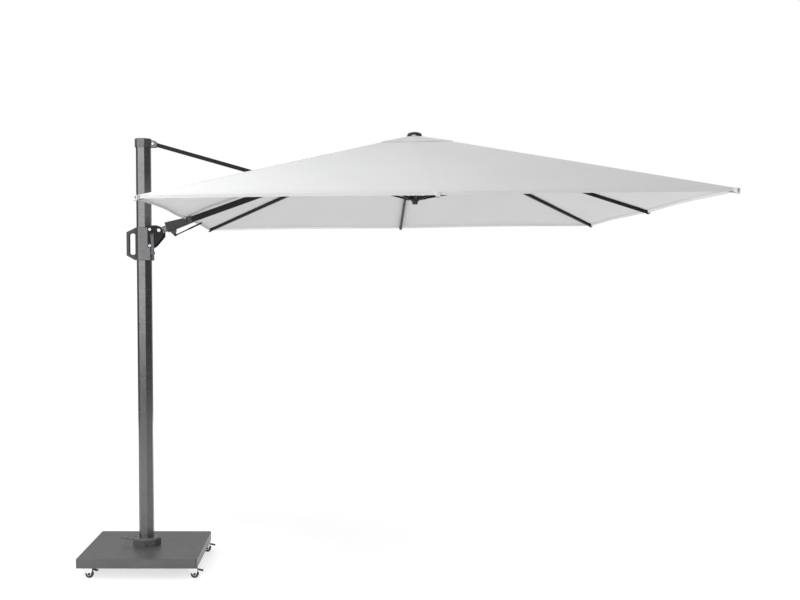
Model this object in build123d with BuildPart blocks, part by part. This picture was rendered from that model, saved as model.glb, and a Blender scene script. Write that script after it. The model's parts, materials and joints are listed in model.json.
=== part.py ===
from build123d import *
import math
import os

# A cantilever parasol. The origin is on the floor under the mast's axis, +Z is up and the
# canopy hangs over +X. Everything is in millimetres and degrees.

# base and casters
BASE_SIDE = 750
BASE_UNDERSIDE = 72
BASE_TOP = 129
BASE_CORNER = 16
BASE_EDGE_FILLET = 4
COVER_CUT_GAP = 1
COVER_WALL = 3
TRAY_THICKNESS = 3
SLAB_GAP = 3
CASTER_X = 327.5
CASTER_Y = 320
CASTER_TRAIL = 27.5
CASTER_PLATE_SIDE = 62
CASTER_PLATE_THICKNESS = 3
CASTER_PLATE_CORNER = 6
KINGPIN_RADIUS = 6
SWIVEL_HEAD_RADIUS = 20
SWIVEL_HEAD_BOTTOM = 60
SWIVEL_GAP = 0.4
FORK_INNER = 12
FORK_PLATE = 2.5
WHEEL_RADIUS = 25
WHEEL_HALF_WIDTH = 10
AXLE_RADIUS = 4
PEDAL_PIVOT = (40, 55)
PEDAL_TIP = (80.5, 46)
PEDAL_PIN_RADIUS = 2.5
FORK_OUTLINE = ((-18, 64), (22, 64), (46, 60), (46, 49))
FORK_FOOT_RADIUS = 11
AXLE_HEAD_GROW = 3
AXLE_HEAD = 2
TYRE_ROUND = 3
WHEEL_RECESS = 3
WHEEL_RIM = 7
PEDAL_BOSS_RADIUS = 4.8
PEDAL_ARM_DEPTH = 4
PEDAL_PAD = (28, 5)
PEDAL_PAD_FILLET = 2

# foot socket, in which the mast turns
SOCKET_RADIUS = 92
SOCKET_TOP = 183
SOCKET_CHAMFER = 8
SOCKET_NECK_RADIUS = 52
SOCKET_NECK_BOTTOM = 78
SOCKET_BOTTOM = BASE_TOP - COVER_WALL
SPIGOT_RADIUS = 34
BUSH_WALL = 4
BUSH_BOTTOM = 90
BUSH_FLOOR = 2
SOCKET_BOLT_CIRCLE = 64
SOCKET_BOLT_RADIUS = 5
SOCKET_BOLT_HEAD_RADIUS = 7.5
SOCKET_BOLT_HEAD = 7
FOOT_PIVOT = (-80, 160)
FOOT_TIP = (-163, 181)
FOOT_ARM_HALF_WIDTH = 12
FOOT_SLOT_HALF_WIDTH = 13
FOOT_PIN_RADIUS = 4
FOOT_SLOT_BELOW = 12
FOOT_SLOT_BEYOND = 16
FOOT_PIN_REACH = 20
FOOT_BOSS_RADIUS = 8
FOOT_ARM_DEPTH = 7
FOOT_PAD = (40, 9)
FOOT_PAD_FILLET = 4

# mast
MAST_OUTLINE = ((-45, 22), (-29.6, 42), (11.2, 42), (45, 18))
MAST_WALL = 3
MAST_BOTTOM = 184
MAST_TOP = 2737
SPIGOT_PLUG_TOP = 264
HEAD_BOTTOM = 2697
HEAD_TOP = 2752
HEAD_WALL = 6
HEAD_CHAMFER = 4
STRUT_TOP = (62.2, 2720.5)
STRUT_PIN_RADIUS = 5
HEAD_EAR_INNER = 12
HEAD_EAR_THICKNESS = 6
HEAD_EAR_OUTLINE = ((16, -23), (24, -18), (26, 6), (17, 17), (-12, 23))

# carriage, which slides on the mast
CARRIAGE_BOTTOM = 1980
CARRIAGE_TOP = 2190
CARRIAGE_HALF_WIDTH = 50
CARRIAGE_LEFT = -53
CARRIAGE_RIGHT = 57
CARRIAGE_OUTLINE = ((CARRIAGE_LEFT, 28), (-34, CARRIAGE_HALF_WIDTH), (48, CARRIAGE_HALF_WIDTH),
                    (CARRIAGE_RIGHT, 41))
CARRIAGE_CHAMFER = 3
CARRIAGE_ROUND = 10
LINER_INSET = 4
LINER_GAP = 0.35
LINER_WALL = 2.2
LINER_HEIGHT = 30
HANDLE_LEFT = -112
HANDLE_HALF_WIDTH = 14
FINGER_GAP_LEFT = -91
FINGER_GAP = (2016, 2152)
FINGER_GAP_ROUND = 15
HANDLE_SHOULDER = -60
HANDLE_ROOT = 34
HANDLE_TURN = (8, 5)
HANDLE_FILLET = 4
BRACKET_THICKNESS = 4
BRACKET_OUTLINE = ((30, 2192), (62, 2202), (88, 2202), (112, 2194), (127, 2172), (127, 2134), (77, 2074),
                   (60, 2062), (30, 2062))
BRACKET_BOLTS = ((44.8, 2176), (44, 2073))
BRACKET_BOLT_RADIUS = 5
BOLT_HEAD_RADIUS = 8.5
BOLT_HEAD_HEIGHT = 4
BRACKET_BOLT_DEPTH = 10
BRACKET_WEB = (2080, 60, 4)
LEVER_PIVOT = (60, 2138)
LEVER_TIP = (65, 2026)
LEVER_KNOB_RADIUS = 13
LEVER_KNOB_HEIGHT = 16
LEVER_KNOB_FILLET = 5
LEVER_BOSS_RADIUS = 12
LEVER_WIDTH = 18
LEVER_THICKNESS = 8
LEVER_STUD = 11

# boom, measured along its own axis from its pivot on the carriage
BOOM_PIVOT = (102.8, 2170.9)
BOOM_ANGLE = 19.9
BOOM_PIN_RADIUS = 6
BOOM_PIN_HEAD_RADIUS = 10.5
BOOM_DEPTH = 38
BOOM_WIDTH = 30
BOOM_CORNER = 7
BOOM_WALL = 2.5
BOOM_START = 152
BOOM_END = 1645
NECK_RADIUS = 21
NECK_LENGTH = 44
NECK_BARREL_RADIUS = 17
SHAFT_RADIUS = 16
SHAFT_END = 148
SLEEVE_START = 46
SLEEVE_END = 192
SLEEVE_POCKET = 150
SLEEVE_START_SIZE = (56, 66)
SLEEVE_START_RISE = 5.5
SLEEVE_START_CORNER = 12
SLEEVE_END_WALL = 4
SLEEVE_END_CORNER = 10
SLEEVE_LUG_OUTLINE = ((56, -20), (104, -20), (92, -44), (80, -49), (66, -46))
SLEEVE_LUG_GAP = ((50, -31), (110, -31), (110, -70), (50, -70))
SLEEVE_LUG_INNER = 7
SLEEVE_LUG_THICKNESS = 4
TILT_PIVOT = (73, -38)
TILT_ROD_START = (81.5, -60.5)
TILT_ROD_END = (262.8, -42.3)
TILT_ROD_RADIUS = 4
TILT_PIN_RADIUS = 3
TILT_EYE_RADIUS = 6.5
TILT_ARM_OUTLINE = ((12, 5), (12, -4), (-6, -5))
TILT_GRIP_WALL = 1.5
TILT_GRIP_BEYOND = 6

# strut, from the mast head down to a collar that the boom turns in
STRUT_FOOT = (839.1, 41)
STRUT_DEPTH = 24
STRUT_HALF_WIDTH = 10
STRUT_WALL = 2
STRUT_FORK_LENGTH = 118
STRUT_CROSSHEAD = 20
STRUT_LEG_INNER = 31
STRUT_LEG_THICKNESS = 5
STRUT_EYE_RADIUS = 14
STRUT_TOP_EYE_RADIUS = 10.5
COLLAR_BORE = 24.05
COLLAR_RADIUS = 29
COLLAR_HALF_LENGTH = 13
COLLAR_CLEARANCE = 0.05
COLLAR_POST_RADIUS = 11
COLLAR_POST_HALF_WIDTH = 9
BUSH_FLANGE_RADIUS = 28
BUSH_FLANGE = 3
TRUNNION_RADIUS = 8

# canopy, in its own frame: u towards the far edge, v across, w up from the rim's plane
CANOPY_CENTRE = (1737.6, 2281)
CANOPY_TILT = 0.991
CANOPY_HALF_SIDE = 1500
CANOPY_RIM = 12
CANOPY_APEX = 505
CLOTH_THICKNESS = 2
VENT_HOLE_HALF = 200
FLAP_HALF_SIDE = 220
FLAP_RIM = 442.5
FLAP_HOLE_RADIUS = 8
SLIT_HALF_WIDTH = 46
SLIT_TOWARDS_MAST = 85
SLIT_TOWARDS_HUB = 45
FINIAL_RADIUS = 50
FINIAL_TOP = 524
FINIAL_STEM_RADIUS = 5
FINIAL_CROWN_RADIUS = 10
FINIAL_SHOULDER = (36, FINIAL_TOP - 9)
FINIAL_RIM = CANOPY_APEX - 9
FINIAL_EDGE = 3

# hub, ribs and stretchers
RIB_AZIMUTHS = {"mid_right": 0, "far_right": 45, "far_mid": 90, "far_left": 135, "near_left": 225,
                "near_mid": 270, "near_right": 315}
RIB_HINGE = (62, 468)
RIB_DEPTH = 20
RIB_WIDTH = 14
RIB_WALL = 1.5
RIB_ROOT_LENGTH = 40
RIB_CAP_LENGTH = 14
RIB_CAP_GROW = 1.2
RIB_UNDER_CLOTH = 14
RIB_PIN_RADIUS = 3
RIB_EAR_HALF_LENGTH = 12
RIB_EAR_INNER = 5.4
JOINT_BELOW_RIB = 17
RIB_EAR_RADIUS = 6.5
RIB_CAP_BEYOND = 10
FOLDED_RIB_ANGLE = 85
RUNNER_TRAVEL = 1100
HUB_RADIUS = 76
HUB_BOTTOM = 456
HUB_TOP = 478
HUB_CORE_RADIUS = 34
HUB_CORE_BOTTOM = 446
HUB_BOSS_RADIUS = 13
HUB_BOSS_TOP = 497
HUB_SLOT_START = 46
HUB_SLOT_HALF_WIDTH = 7.4
HUB_TONGUE_START = 1560
HUB_TONGUE_END = 1705
HUB_TONGUE = (24, 32)
RUNNER_PIVOT = (60, 104)
RUNNER_CORE_RADIUS = 26
RUNNER_BOTTOM = 84
RUNNER_TOP = 113
RUNNER_PLATE = 4
RUNNER_PLATE_RADIUS = 64
RUNNER_CHEEK_INNER = 5.6
RUNNER_CHEEK = 3
RUNNER_CHEEK_REACH = 68
RUNNER_CHEEK_BELOW = 8
RUNNER_CHEEK_OVERLAP = 4
RUNNER_SLOT_START = 52
KNOB_RADIUS = 18
KNOB_BOTTOM = 65
KNOB_FILLET = 6
STRETCHER_DEPTH = 12
STRETCHER_HALF_WIDTH = 5

# radial clearance where one body turns on another's pin
RUNNING = 0.06
PIN_HEAD = 3


def save(piece, label):
    """Labels a finished piece and writes it as its own STEP file."""
    piece.part.label = label
    export_step(piece.part, f"parts/{label}.step")


# the planes that pieces are drawn on


def boom_direction():
    angle = math.radians(BOOM_ANGLE)
    return Vector(math.cos(angle), 0, math.sin(angle))


def boom_side():
    """The boom's side view: x along the boom from its pivot, y up from its axis."""
    return Plane(origin=(BOOM_PIVOT[0], 0, BOOM_PIVOT[1]), x_dir=boom_direction(), z_dir=(0, -1, 0))


def boom_section(along):
    """A section across the boom: x is +Y, y is up from the boom's axis."""
    origin = Vector(BOOM_PIVOT[0], 0, BOOM_PIVOT[1]) + boom_direction() * along
    return Plane(origin=origin, x_dir=(0, 1, 0), z_dir=boom_direction())


def strut_side():
    """The strut's side view: x from its top pin to its foot."""
    top = Vector(STRUT_TOP[0], 0, STRUT_TOP[1])
    foot = boom_side().from_local_coords(Vector(*STRUT_FOOT, 0))
    return Plane(origin=top, x_dir=foot - top, z_dir=(0, -1, 0)), (foot - top).length


def canopy_axes():
    tilt = math.radians(CANOPY_TILT)
    outwards = Vector(math.cos(tilt), 0, math.sin(tilt))
    upwards = Vector(-math.sin(tilt), 0, math.cos(tilt))
    return outwards, upwards


def canopy_level(height):
    """A plane parallel to the rim: x is u and y is v."""
    outwards, upwards = canopy_axes()
    origin = Vector(CANOPY_CENTRE[0], 0, CANOPY_CENTRE[1]) + upwards * height
    return Plane(origin=origin, x_dir=outwards, z_dir=upwards)


def rib_side(azimuth):
    """The upright plane of one rib: x is the distance from the hub's axis, y is w."""
    outwards, upwards = canopy_axes()
    turn = math.radians(azimuth)
    radial = outwards * math.cos(turn) + Vector(0, math.sin(turn), 0)
    return Plane(origin=(CANOPY_CENTRE[0], 0, CANOPY_CENTRE[1]), x_dir=radial, z_dir=radial.cross(upwards))


# how the ribs and stretchers lie


def rib_reach(azimuth):
    """The distance from the hub's axis to the rim along a rib."""
    return CANOPY_HALF_SIDE * (math.sqrt(2) if azimuth % 90 else 1)


def rib_slope(azimuth):
    """How steeply a rib falls, in radians, so that its end lies just under the rim."""
    reach = rib_reach(azimuth)
    slope = math.atan((CANOPY_APEX - CANOPY_RIM) / reach)
    fall = RIB_HINGE[1] - CANOPY_RIM + RIB_UNDER_CLOTH / math.cos(slope)
    return math.atan(fall / (reach - RIB_HINGE[0]))


def rib_point(slope, along, below):
    """A point on a rib in its upright plane, along it from its hinge and below its middle line."""
    x = RIB_HINGE[0] + along * math.cos(slope) - below * math.sin(slope)
    y = RIB_HINGE[1] - along * math.sin(slope) - below * math.cos(slope)
    return Vector(x, y)


def joint_along_rib(azimuth):
    """Where the stretcher is pinned, so that every rib folds to the same angle with the runner down."""
    open_slope = rib_slope(azimuth)
    folded_slope = math.radians(FOLDED_RIB_ANGLE)
    folded_runner = Vector(RUNNER_PIVOT[0], RUNNER_PIVOT[1] - RUNNER_TRAVEL)
    open_start = rib_point(open_slope, 0, JOINT_BELOW_RIB) - Vector(*RUNNER_PIVOT)
    folded_start = rib_point(folded_slope, 0, JOINT_BELOW_RIB) - folded_runner
    open_way = Vector(math.cos(open_slope), -math.sin(open_slope))
    folded_way = Vector(math.cos(folded_slope), -math.sin(folded_slope))
    change = open_start.dot(open_start) - folded_start.dot(folded_start)
    return change / (2 * (folded_way.dot(folded_start) - open_way.dot(open_start)))


def along_rib_side(azimuth):
    """The upright plane of a rib, turned so that x runs along the rib from its hinge."""
    side = rib_side(azimuth)
    slope = rib_slope(azimuth)
    origin = side.from_local_coords(Vector(*RIB_HINGE, 0))
    along = side.x_dir * math.cos(slope) - side.y_dir * math.sin(slope)
    return Plane(origin=origin, x_dir=along, z_dir=side.z_dir)


# base and casters


def make_base_cover():
    with BuildPart() as base_cover:
        with BuildSketch(Plane.XY.offset(BASE_UNDERSIDE)):
            RectangleRounded(BASE_SIDE, BASE_SIDE, BASE_CORNER)
        extrude(amount=BASE_TOP - BASE_UNDERSIDE)
        fillet(base_cover.faces().sort_by(Axis.Z)[-1].edges(), BASE_EDGE_FILLET)
        inside = BASE_SIDE - 2 * COVER_WALL
        with BuildSketch(Plane.XY.offset(BASE_UNDERSIDE)):
            RectangleRounded(inside, inside, BASE_CORNER - COVER_WALL)
        extrude(amount=BASE_TOP - BASE_UNDERSIDE - COVER_WALL, mode=Mode.SUBTRACT)
        with BuildSketch(Plane.XY.offset(BASE_TOP - COVER_WALL)):
            RegularPolygon(SOCKET_RADIUS + COVER_CUT_GAP, 8)
        extrude(amount=COVER_WALL, mode=Mode.SUBTRACT)
    save(base_cover, "base_cover")


def make_base_tray():
    side = BASE_SIDE - 2 * COVER_WALL
    with BuildPart() as base_tray:
        with BuildSketch(Plane.XY.offset(BASE_UNDERSIDE)):
            RectangleRounded(side, side, BASE_CORNER - COVER_WALL)
        extrude(amount=TRAY_THICKNESS)
    save(base_tray, "base_tray")


def make_ballast_slab():
    side = BASE_SIDE - 2 * (COVER_WALL + SLAB_GAP)
    with BuildPart() as ballast_slab:
        with BuildSketch(Plane.XY.offset(BASE_UNDERSIDE + TRAY_THICKNESS)):
            RectangleRounded(side, side, BASE_CORNER - COVER_WALL)
            Circle(SOCKET_NECK_RADIUS + SLAB_GAP, mode=Mode.SUBTRACT)
        extrude(amount=BASE_TOP - COVER_WALL - BASE_UNDERSIDE - TRAY_THICKNESS)
    save(ballast_slab, "ballast_slab")


def make_foot_socket():
    with BuildPart() as foot_socket:
        with BuildSketch(Plane.XY.offset(SOCKET_BOTTOM)):
            RegularPolygon(SOCKET_RADIUS, 8)
        extrude(amount=SOCKET_TOP - SOCKET_BOTTOM)
        chamfer(foot_socket.faces().sort_by(Axis.Z)[-1].edges(), SOCKET_CHAMFER)
        with BuildSketch(Plane.XY.offset(SOCKET_NECK_BOTTOM)):
            Circle(SOCKET_NECK_RADIUS)
        extrude(amount=SOCKET_BOTTOM - SOCKET_NECK_BOTTOM)
        with BuildSketch(Plane.XY.offset(BUSH_BOTTOM)):
            Circle(SPIGOT_RADIUS + BUSH_WALL)
        extrude(amount=SOCKET_TOP - BUSH_BOTTOM, mode=Mode.SUBTRACT)
        with BuildSketch(Plane.XY.offset(SOCKET_TOP)):
            with PolarLocations(SOCKET_BOLT_CIRCLE, 4, start_angle=45):
                Circle(SOCKET_BOLT_HEAD_RADIUS)
        extrude(amount=-SOCKET_BOLT_HEAD, mode=Mode.SUBTRACT)
        with BuildSketch(Plane.XY.offset(SOCKET_TOP)):
            with PolarLocations(SOCKET_BOLT_CIRCLE, 4, start_angle=45):
                Circle(SOCKET_BOLT_RADIUS)
        extrude(amount=SOCKET_BOTTOM - SOCKET_TOP, mode=Mode.SUBTRACT)
        slot_bottom = FOOT_PIVOT[1] - FOOT_SLOT_BELOW
        slot_length = SOCKET_RADIUS + FOOT_PIVOT[0] + FOOT_SLOT_BEYOND
        with BuildSketch(Plane.XZ):
            with Locations((-SOCKET_RADIUS, slot_bottom)):
                Rectangle(slot_length, SOCKET_TOP - slot_bottom, align=(Align.MIN, Align.MIN))
        extrude(amount=FOOT_SLOT_HALF_WIDTH, both=True, mode=Mode.SUBTRACT)
        with BuildSketch(Plane.XZ):
            with Locations(FOOT_PIVOT):
                Circle(FOOT_PIN_RADIUS + RUNNING)
        extrude(amount=FOOT_PIN_REACH + 1, both=True, mode=Mode.SUBTRACT)
    save(foot_socket, "foot_socket")


def make_base_bolts():
    with BuildPart() as base_bolts:
        with BuildSketch(Plane.XY.offset(SOCKET_TOP - SOCKET_BOLT_HEAD)):
            with PolarLocations(SOCKET_BOLT_CIRCLE, 4, start_angle=45):
                Circle(SOCKET_BOLT_HEAD_RADIUS)
                RegularPolygon(SOCKET_BOLT_RADIUS, 6, mode=Mode.SUBTRACT)
        extrude(amount=SOCKET_BOLT_HEAD)
        with BuildSketch(Plane.XY.offset(SOCKET_BOTTOM)):
            with PolarLocations(SOCKET_BOLT_CIRCLE, 4, start_angle=45):
                Circle(SOCKET_BOLT_RADIUS)
        extrude(amount=SOCKET_TOP - SOCKET_BOLT_HEAD - SOCKET_BOTTOM + PIN_HEAD)
    save(base_bolts, "base_bolts")


def make_turn_bush():
    with BuildPart() as turn_bush:
        with BuildSketch(Plane.XY.offset(BUSH_BOTTOM)):
            Circle(SPIGOT_RADIUS + BUSH_WALL)
        extrude(amount=SOCKET_TOP - BUSH_BOTTOM)
        with BuildSketch(Plane.XY.offset(BUSH_BOTTOM + BUSH_FLOOR)):
            Circle(SPIGOT_RADIUS)
        extrude(amount=SOCKET_TOP - BUSH_BOTTOM - BUSH_FLOOR, mode=Mode.SUBTRACT)
    save(turn_bush, "turn_bush")


def make_foot_pedal():
    reach = math.dist(FOOT_PIVOT, FOOT_TIP)
    along = (FOOT_TIP[0] - FOOT_PIVOT[0], 0, FOOT_TIP[1] - FOOT_PIVOT[1])
    side = Plane(origin=(FOOT_PIVOT[0], 0, FOOT_PIVOT[1]), x_dir=along, z_dir=(0, 1, 0))
    with BuildPart() as foot_pedal:
        with BuildSketch(side):
            Circle(FOOT_BOSS_RADIUS)
            with Locations((reach / 2, 0)):
                Rectangle(reach, FOOT_ARM_DEPTH)
        extrude(amount=FOOT_ARM_HALF_WIDTH, both=True)
        with BuildSketch(side):
            with Locations((reach, 0)):
                Rectangle(*FOOT_PAD, align=(Align.MAX, Align.CENTER))
        extrude(amount=2 * FOOT_ARM_HALF_WIDTH, both=True)
        fillet(foot_pedal.edges().filter_by(Axis.Y).group_by(Axis.X)[0], FOOT_PAD_FILLET)
        with BuildSketch(side):
            Circle(FOOT_PIN_RADIUS)
        extrude(amount=FOOT_PIN_REACH, both=True)
    save(foot_pedal, "foot_pedal")


def caster_centres():
    return {"near_left": (-CASTER_X, -CASTER_Y), "near_right": (CASTER_X, -CASTER_Y),
            "far_left": (-CASTER_X, CASTER_Y), "far_right": (CASTER_X, CASTER_Y)}


def make_caster_plates():
    with BuildPart() as caster_plates:
        with BuildSketch(Plane.XY.offset(BASE_UNDERSIDE)):
            with Locations(*caster_centres().values()):
                RectangleRounded(CASTER_PLATE_SIDE, CASTER_PLATE_SIDE, CASTER_PLATE_CORNER)
        extrude(amount=-CASTER_PLATE_THICKNESS)
        with BuildSketch(Plane.XY.offset(BASE_UNDERSIDE)):
            with Locations(*caster_centres().values()):
                Circle(KINGPIN_RADIUS)
        extrude(amount=SWIVEL_HEAD_BOTTOM - BASE_UNDERSIDE)
    save(caster_plates, "caster_plates")


def make_caster_fork(place, centre):
    side = Plane(origin=(centre[0], centre[1], 0), x_dir=(1, 0, 0), z_dir=(0, -1, 0))
    head_top = BASE_UNDERSIDE - CASTER_PLATE_THICKNESS - SWIVEL_GAP
    with BuildPart() as caster_fork:
        with BuildSketch(side):
            Polygon(*FORK_OUTLINE, (CASTER_TRAIL + FORK_FOOT_RADIUS, WHEEL_RADIUS),
                    (CASTER_TRAIL - FORK_FOOT_RADIUS, WHEEL_RADIUS), align=None)
            with Locations((CASTER_TRAIL, WHEEL_RADIUS)):
                Circle(FORK_FOOT_RADIUS)
        extrude(amount=FORK_INNER + FORK_PLATE, both=True)
        with BuildSketch(side):
            with Locations((CASTER_TRAIL, 0)):
                Rectangle(4 * WHEEL_RADIUS, SWIVEL_HEAD_BOTTOM, align=(Align.CENTER, Align.MIN))
        extrude(amount=FORK_INNER, both=True, mode=Mode.SUBTRACT)
        with BuildSketch(Plane((centre[0], centre[1], SWIVEL_HEAD_BOTTOM))):
            Circle(SWIVEL_HEAD_RADIUS)
        extrude(amount=head_top - SWIVEL_HEAD_BOTTOM)
        with BuildSketch(Plane((centre[0], centre[1], SWIVEL_HEAD_BOTTOM))):
            Circle(KINGPIN_RADIUS + RUNNING)
        extrude(amount=head_top - SWIVEL_HEAD_BOTTOM, mode=Mode.SUBTRACT)
        with BuildSketch(side):
            with Locations((CASTER_TRAIL, WHEEL_RADIUS)):
                Circle(AXLE_RADIUS)
            with Locations(PEDAL_PIVOT):
                Circle(PEDAL_PIN_RADIUS)
        extrude(amount=FORK_INNER + FORK_PLATE, both=True)
        with BuildSketch(side):
            with Locations((CASTER_TRAIL, WHEEL_RADIUS)):
                Circle(AXLE_RADIUS + AXLE_HEAD_GROW)
        extrude(amount=FORK_INNER + FORK_PLATE + AXLE_HEAD, both=True)
        with BuildSketch(side):
            with Locations((CASTER_TRAIL, WHEEL_RADIUS)):
                Circle(AXLE_RADIUS + AXLE_HEAD_GROW + 1)
                Circle(AXLE_RADIUS, mode=Mode.SUBTRACT)
        extrude(amount=FORK_INNER, both=True, mode=Mode.SUBTRACT)
    save(caster_fork, f"caster_fork_{place}")


def make_caster_wheel(place, centre):
    axle = (centre[0] + CASTER_TRAIL, centre[1], WHEEL_RADIUS)
    hub = Plane(origin=axle, x_dir=(1, 0, 0), z_dir=(0, -1, 0))
    with BuildPart() as caster_wheel:
        with BuildSketch(hub):
            Circle(WHEEL_RADIUS)
        extrude(amount=WHEEL_HALF_WIDTH, both=True)
        fillet(caster_wheel.edges(), TYRE_ROUND)
        for face_side in (-1, 1):
            with BuildSketch(hub.offset(face_side * WHEEL_HALF_WIDTH)):
                Circle(WHEEL_RADIUS - WHEEL_RIM)
                Circle(AXLE_RADIUS + AXLE_HEAD_GROW + 1, mode=Mode.SUBTRACT)
            extrude(amount=-face_side * WHEEL_RECESS, mode=Mode.SUBTRACT)
        with BuildSketch(hub):
            Circle(AXLE_RADIUS + RUNNING)
        extrude(amount=WHEEL_HALF_WIDTH, both=True, mode=Mode.SUBTRACT)
    save(caster_wheel, f"caster_wheel_{place}")


def make_brake_pedal(place, centre):
    reach = math.dist(PEDAL_PIVOT, PEDAL_TIP)
    along = (PEDAL_TIP[0] - PEDAL_PIVOT[0], 0, PEDAL_TIP[1] - PEDAL_PIVOT[1])
    pivot = (centre[0] + PEDAL_PIVOT[0], centre[1], PEDAL_PIVOT[1])
    side = Plane(origin=pivot, x_dir=along, z_dir=(0, -1, 0))
    with BuildPart() as brake_pedal:
        with BuildSketch(side):
            Circle(PEDAL_BOSS_RADIUS)
            with Locations((reach / 2, 0)):
                Rectangle(reach, PEDAL_ARM_DEPTH)
        extrude(amount=FORK_INNER - SWIVEL_GAP, both=True)
        with BuildSketch(side):
            with Locations((reach, 0)):
                Rectangle(*PEDAL_PAD, align=(Align.MAX, Align.CENTER))
        extrude(amount=FORK_INNER + FORK_PLATE, both=True)
        fillet(brake_pedal.edges().filter_by(Axis.Y).group_by(Axis.X)[-1], PEDAL_PAD_FILLET)
        with BuildSketch(side):
            Circle(PEDAL_PIN_RADIUS + RUNNING)
        extrude(amount=FORK_INNER, both=True, mode=Mode.SUBTRACT)
    save(brake_pedal, f"brake_pedal_{place}")


def make_casters():
    make_caster_plates()
    for place, centre in caster_centres().items():
        make_caster_fork(place, centre)
        make_caster_wheel(place, centre)
        make_brake_pedal(place, centre)


# mast


def mast_profile(grow):
    """Adds the mast's eight-sided outline, grown outwards, to the sketch being built."""
    far_side = list(MAST_OUTLINE)
    near_side = [(x, -y) for x, y in reversed(MAST_OUTLINE)]
    Polygon(*far_side, *near_side, align=None)
    if grow:
        offset(amount=grow, kind=Kind.INTERSECTION)


def make_mast_tube():
    with BuildPart() as mast_tube:
        with BuildSketch(Plane.XY.offset(MAST_BOTTOM)):
            mast_profile(0)
        extrude(amount=MAST_TOP - MAST_BOTTOM)
        with BuildSketch(Plane.XY.offset(MAST_BOTTOM)):
            mast_profile(-MAST_WALL)
        extrude(amount=MAST_TOP - MAST_BOTTOM, mode=Mode.SUBTRACT)
    save(mast_tube, "mast_tube")


def make_mast_spigot():
    bottom = BUSH_BOTTOM + BUSH_FLOOR + SWIVEL_GAP
    with BuildPart() as mast_spigot:
        with BuildSketch(Plane.XY.offset(bottom)):
            Circle(SPIGOT_RADIUS - RUNNING)
        extrude(amount=MAST_BOTTOM - bottom)
        with BuildSketch(Plane.XY.offset(MAST_BOTTOM)):
            mast_profile(-MAST_WALL)
        extrude(amount=SPIGOT_PLUG_TOP - MAST_BOTTOM)
    save(mast_spigot, "mast_spigot")


def make_mast_head():
    pin_x, pin_z = STRUT_TOP
    mast_face = MAST_OUTLINE[-1][0]
    ear = [(pin_x + x, pin_z + z) for x, z in HEAD_EAR_OUTLINE]
    height = HEAD_TOP - HEAD_BOTTOM
    with BuildPart() as mast_head:
        with BuildSketch(Plane.XY.offset(HEAD_BOTTOM)):
            mast_profile(HEAD_WALL)
        extrude(amount=HEAD_TOP - HEAD_BOTTOM)
        chamfer(mast_head.faces().sort_by(Axis.Z)[-1].edges(), HEAD_CHAMFER)
        with BuildSketch(Plane.XZ):
            Polygon((mast_face, HEAD_BOTTOM), *ear, (mast_face, ear[-1][1]), align=None)
        extrude(amount=HEAD_EAR_INNER + HEAD_EAR_THICKNESS, both=True)
        with BuildSketch(Plane.XZ):
            with Locations((mast_face + HEAD_WALL, pin_z)):
                Rectangle(height, 2 * height, align=(Align.MIN, Align.CENTER))
        extrude(amount=HEAD_EAR_INNER, both=True, mode=Mode.SUBTRACT)
        with BuildSketch(Plane.XY.offset(HEAD_BOTTOM)):
            mast_profile(0)
        extrude(amount=MAST_TOP - HEAD_BOTTOM, mode=Mode.SUBTRACT)
        with BuildSketch(Plane.XZ):
            with Locations(STRUT_TOP):
                Circle(STRUT_PIN_RADIUS)
        extrude(amount=HEAD_EAR_INNER + HEAD_EAR_THICKNESS, both=True, mode=Mode.SUBTRACT)
    save(mast_head, "mast_head")


def make_strut_pin():
    outside = HEAD_EAR_INNER + HEAD_EAR_THICKNESS
    with BuildPart() as strut_pin:
        with BuildSketch(Plane.XZ):
            with Locations(STRUT_TOP):
                Circle(STRUT_PIN_RADIUS)
        extrude(amount=outside + PIN_HEAD, both=True)
        for end in (-1, 1):
            with BuildSketch(Plane.XZ.offset(end * outside)):
                with Locations(STRUT_TOP):
                    Circle(STRUT_PIN_RADIUS + PIN_HEAD)
            extrude(amount=end * PIN_HEAD)
    save(strut_pin, "strut_pin")


def make_strut():
    side, length = strut_side()
    fork_start = length - STRUT_FORK_LENGTH
    leg_outer = STRUT_LEG_INNER + STRUT_LEG_THICKNESS
    with BuildPart() as strut:
        with BuildSketch(side):
            Circle(STRUT_TOP_EYE_RADIUS)
            with Locations((STRUT_TOP_EYE_RADIUS, 0)):
                Rectangle(fork_start - STRUT_TOP_EYE_RADIUS + 1, STRUT_DEPTH,
                          align=(Align.MIN, Align.CENTER))
            Rectangle(2 * STRUT_TOP_EYE_RADIUS, 2 * STRUT_TOP_EYE_RADIUS, align=(Align.MIN, Align.CENTER))
        extrude(amount=STRUT_HALF_WIDTH, both=True)
        with BuildSketch(side):
            with Locations((2 * STRUT_DEPTH, 0)):
                inner_depth = STRUT_DEPTH - 2 * STRUT_WALL
                Rectangle(fork_start - 3 * STRUT_DEPTH, inner_depth, align=(Align.MIN, Align.CENTER))
        extrude(amount=STRUT_HALF_WIDTH - STRUT_WALL, both=True, mode=Mode.SUBTRACT)
        with BuildSketch(side):
            with Locations((fork_start, 0)):
                Rectangle(STRUT_FORK_LENGTH, STRUT_DEPTH, align=(Align.MIN, Align.CENTER))
            with Locations((length, 0)):
                Circle(STRUT_EYE_RADIUS)
        extrude(amount=leg_outer, both=True)
        with BuildSketch(side):
            with Locations((fork_start + STRUT_CROSSHEAD, 0)):
                Rectangle(STRUT_FORK_LENGTH, 2 * STRUT_DEPTH, align=(Align.MIN, Align.CENTER))
        extrude(amount=STRUT_LEG_INNER, both=True, mode=Mode.SUBTRACT)
        with BuildSketch(side):
            Circle(STRUT_PIN_RADIUS + RUNNING)
            with Locations((length, 0)):
                Circle(STRUT_PIN_RADIUS)
        extrude(amount=leg_outer, both=True, mode=Mode.SUBTRACT)
    save(strut, "strut")


# carriage


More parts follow.
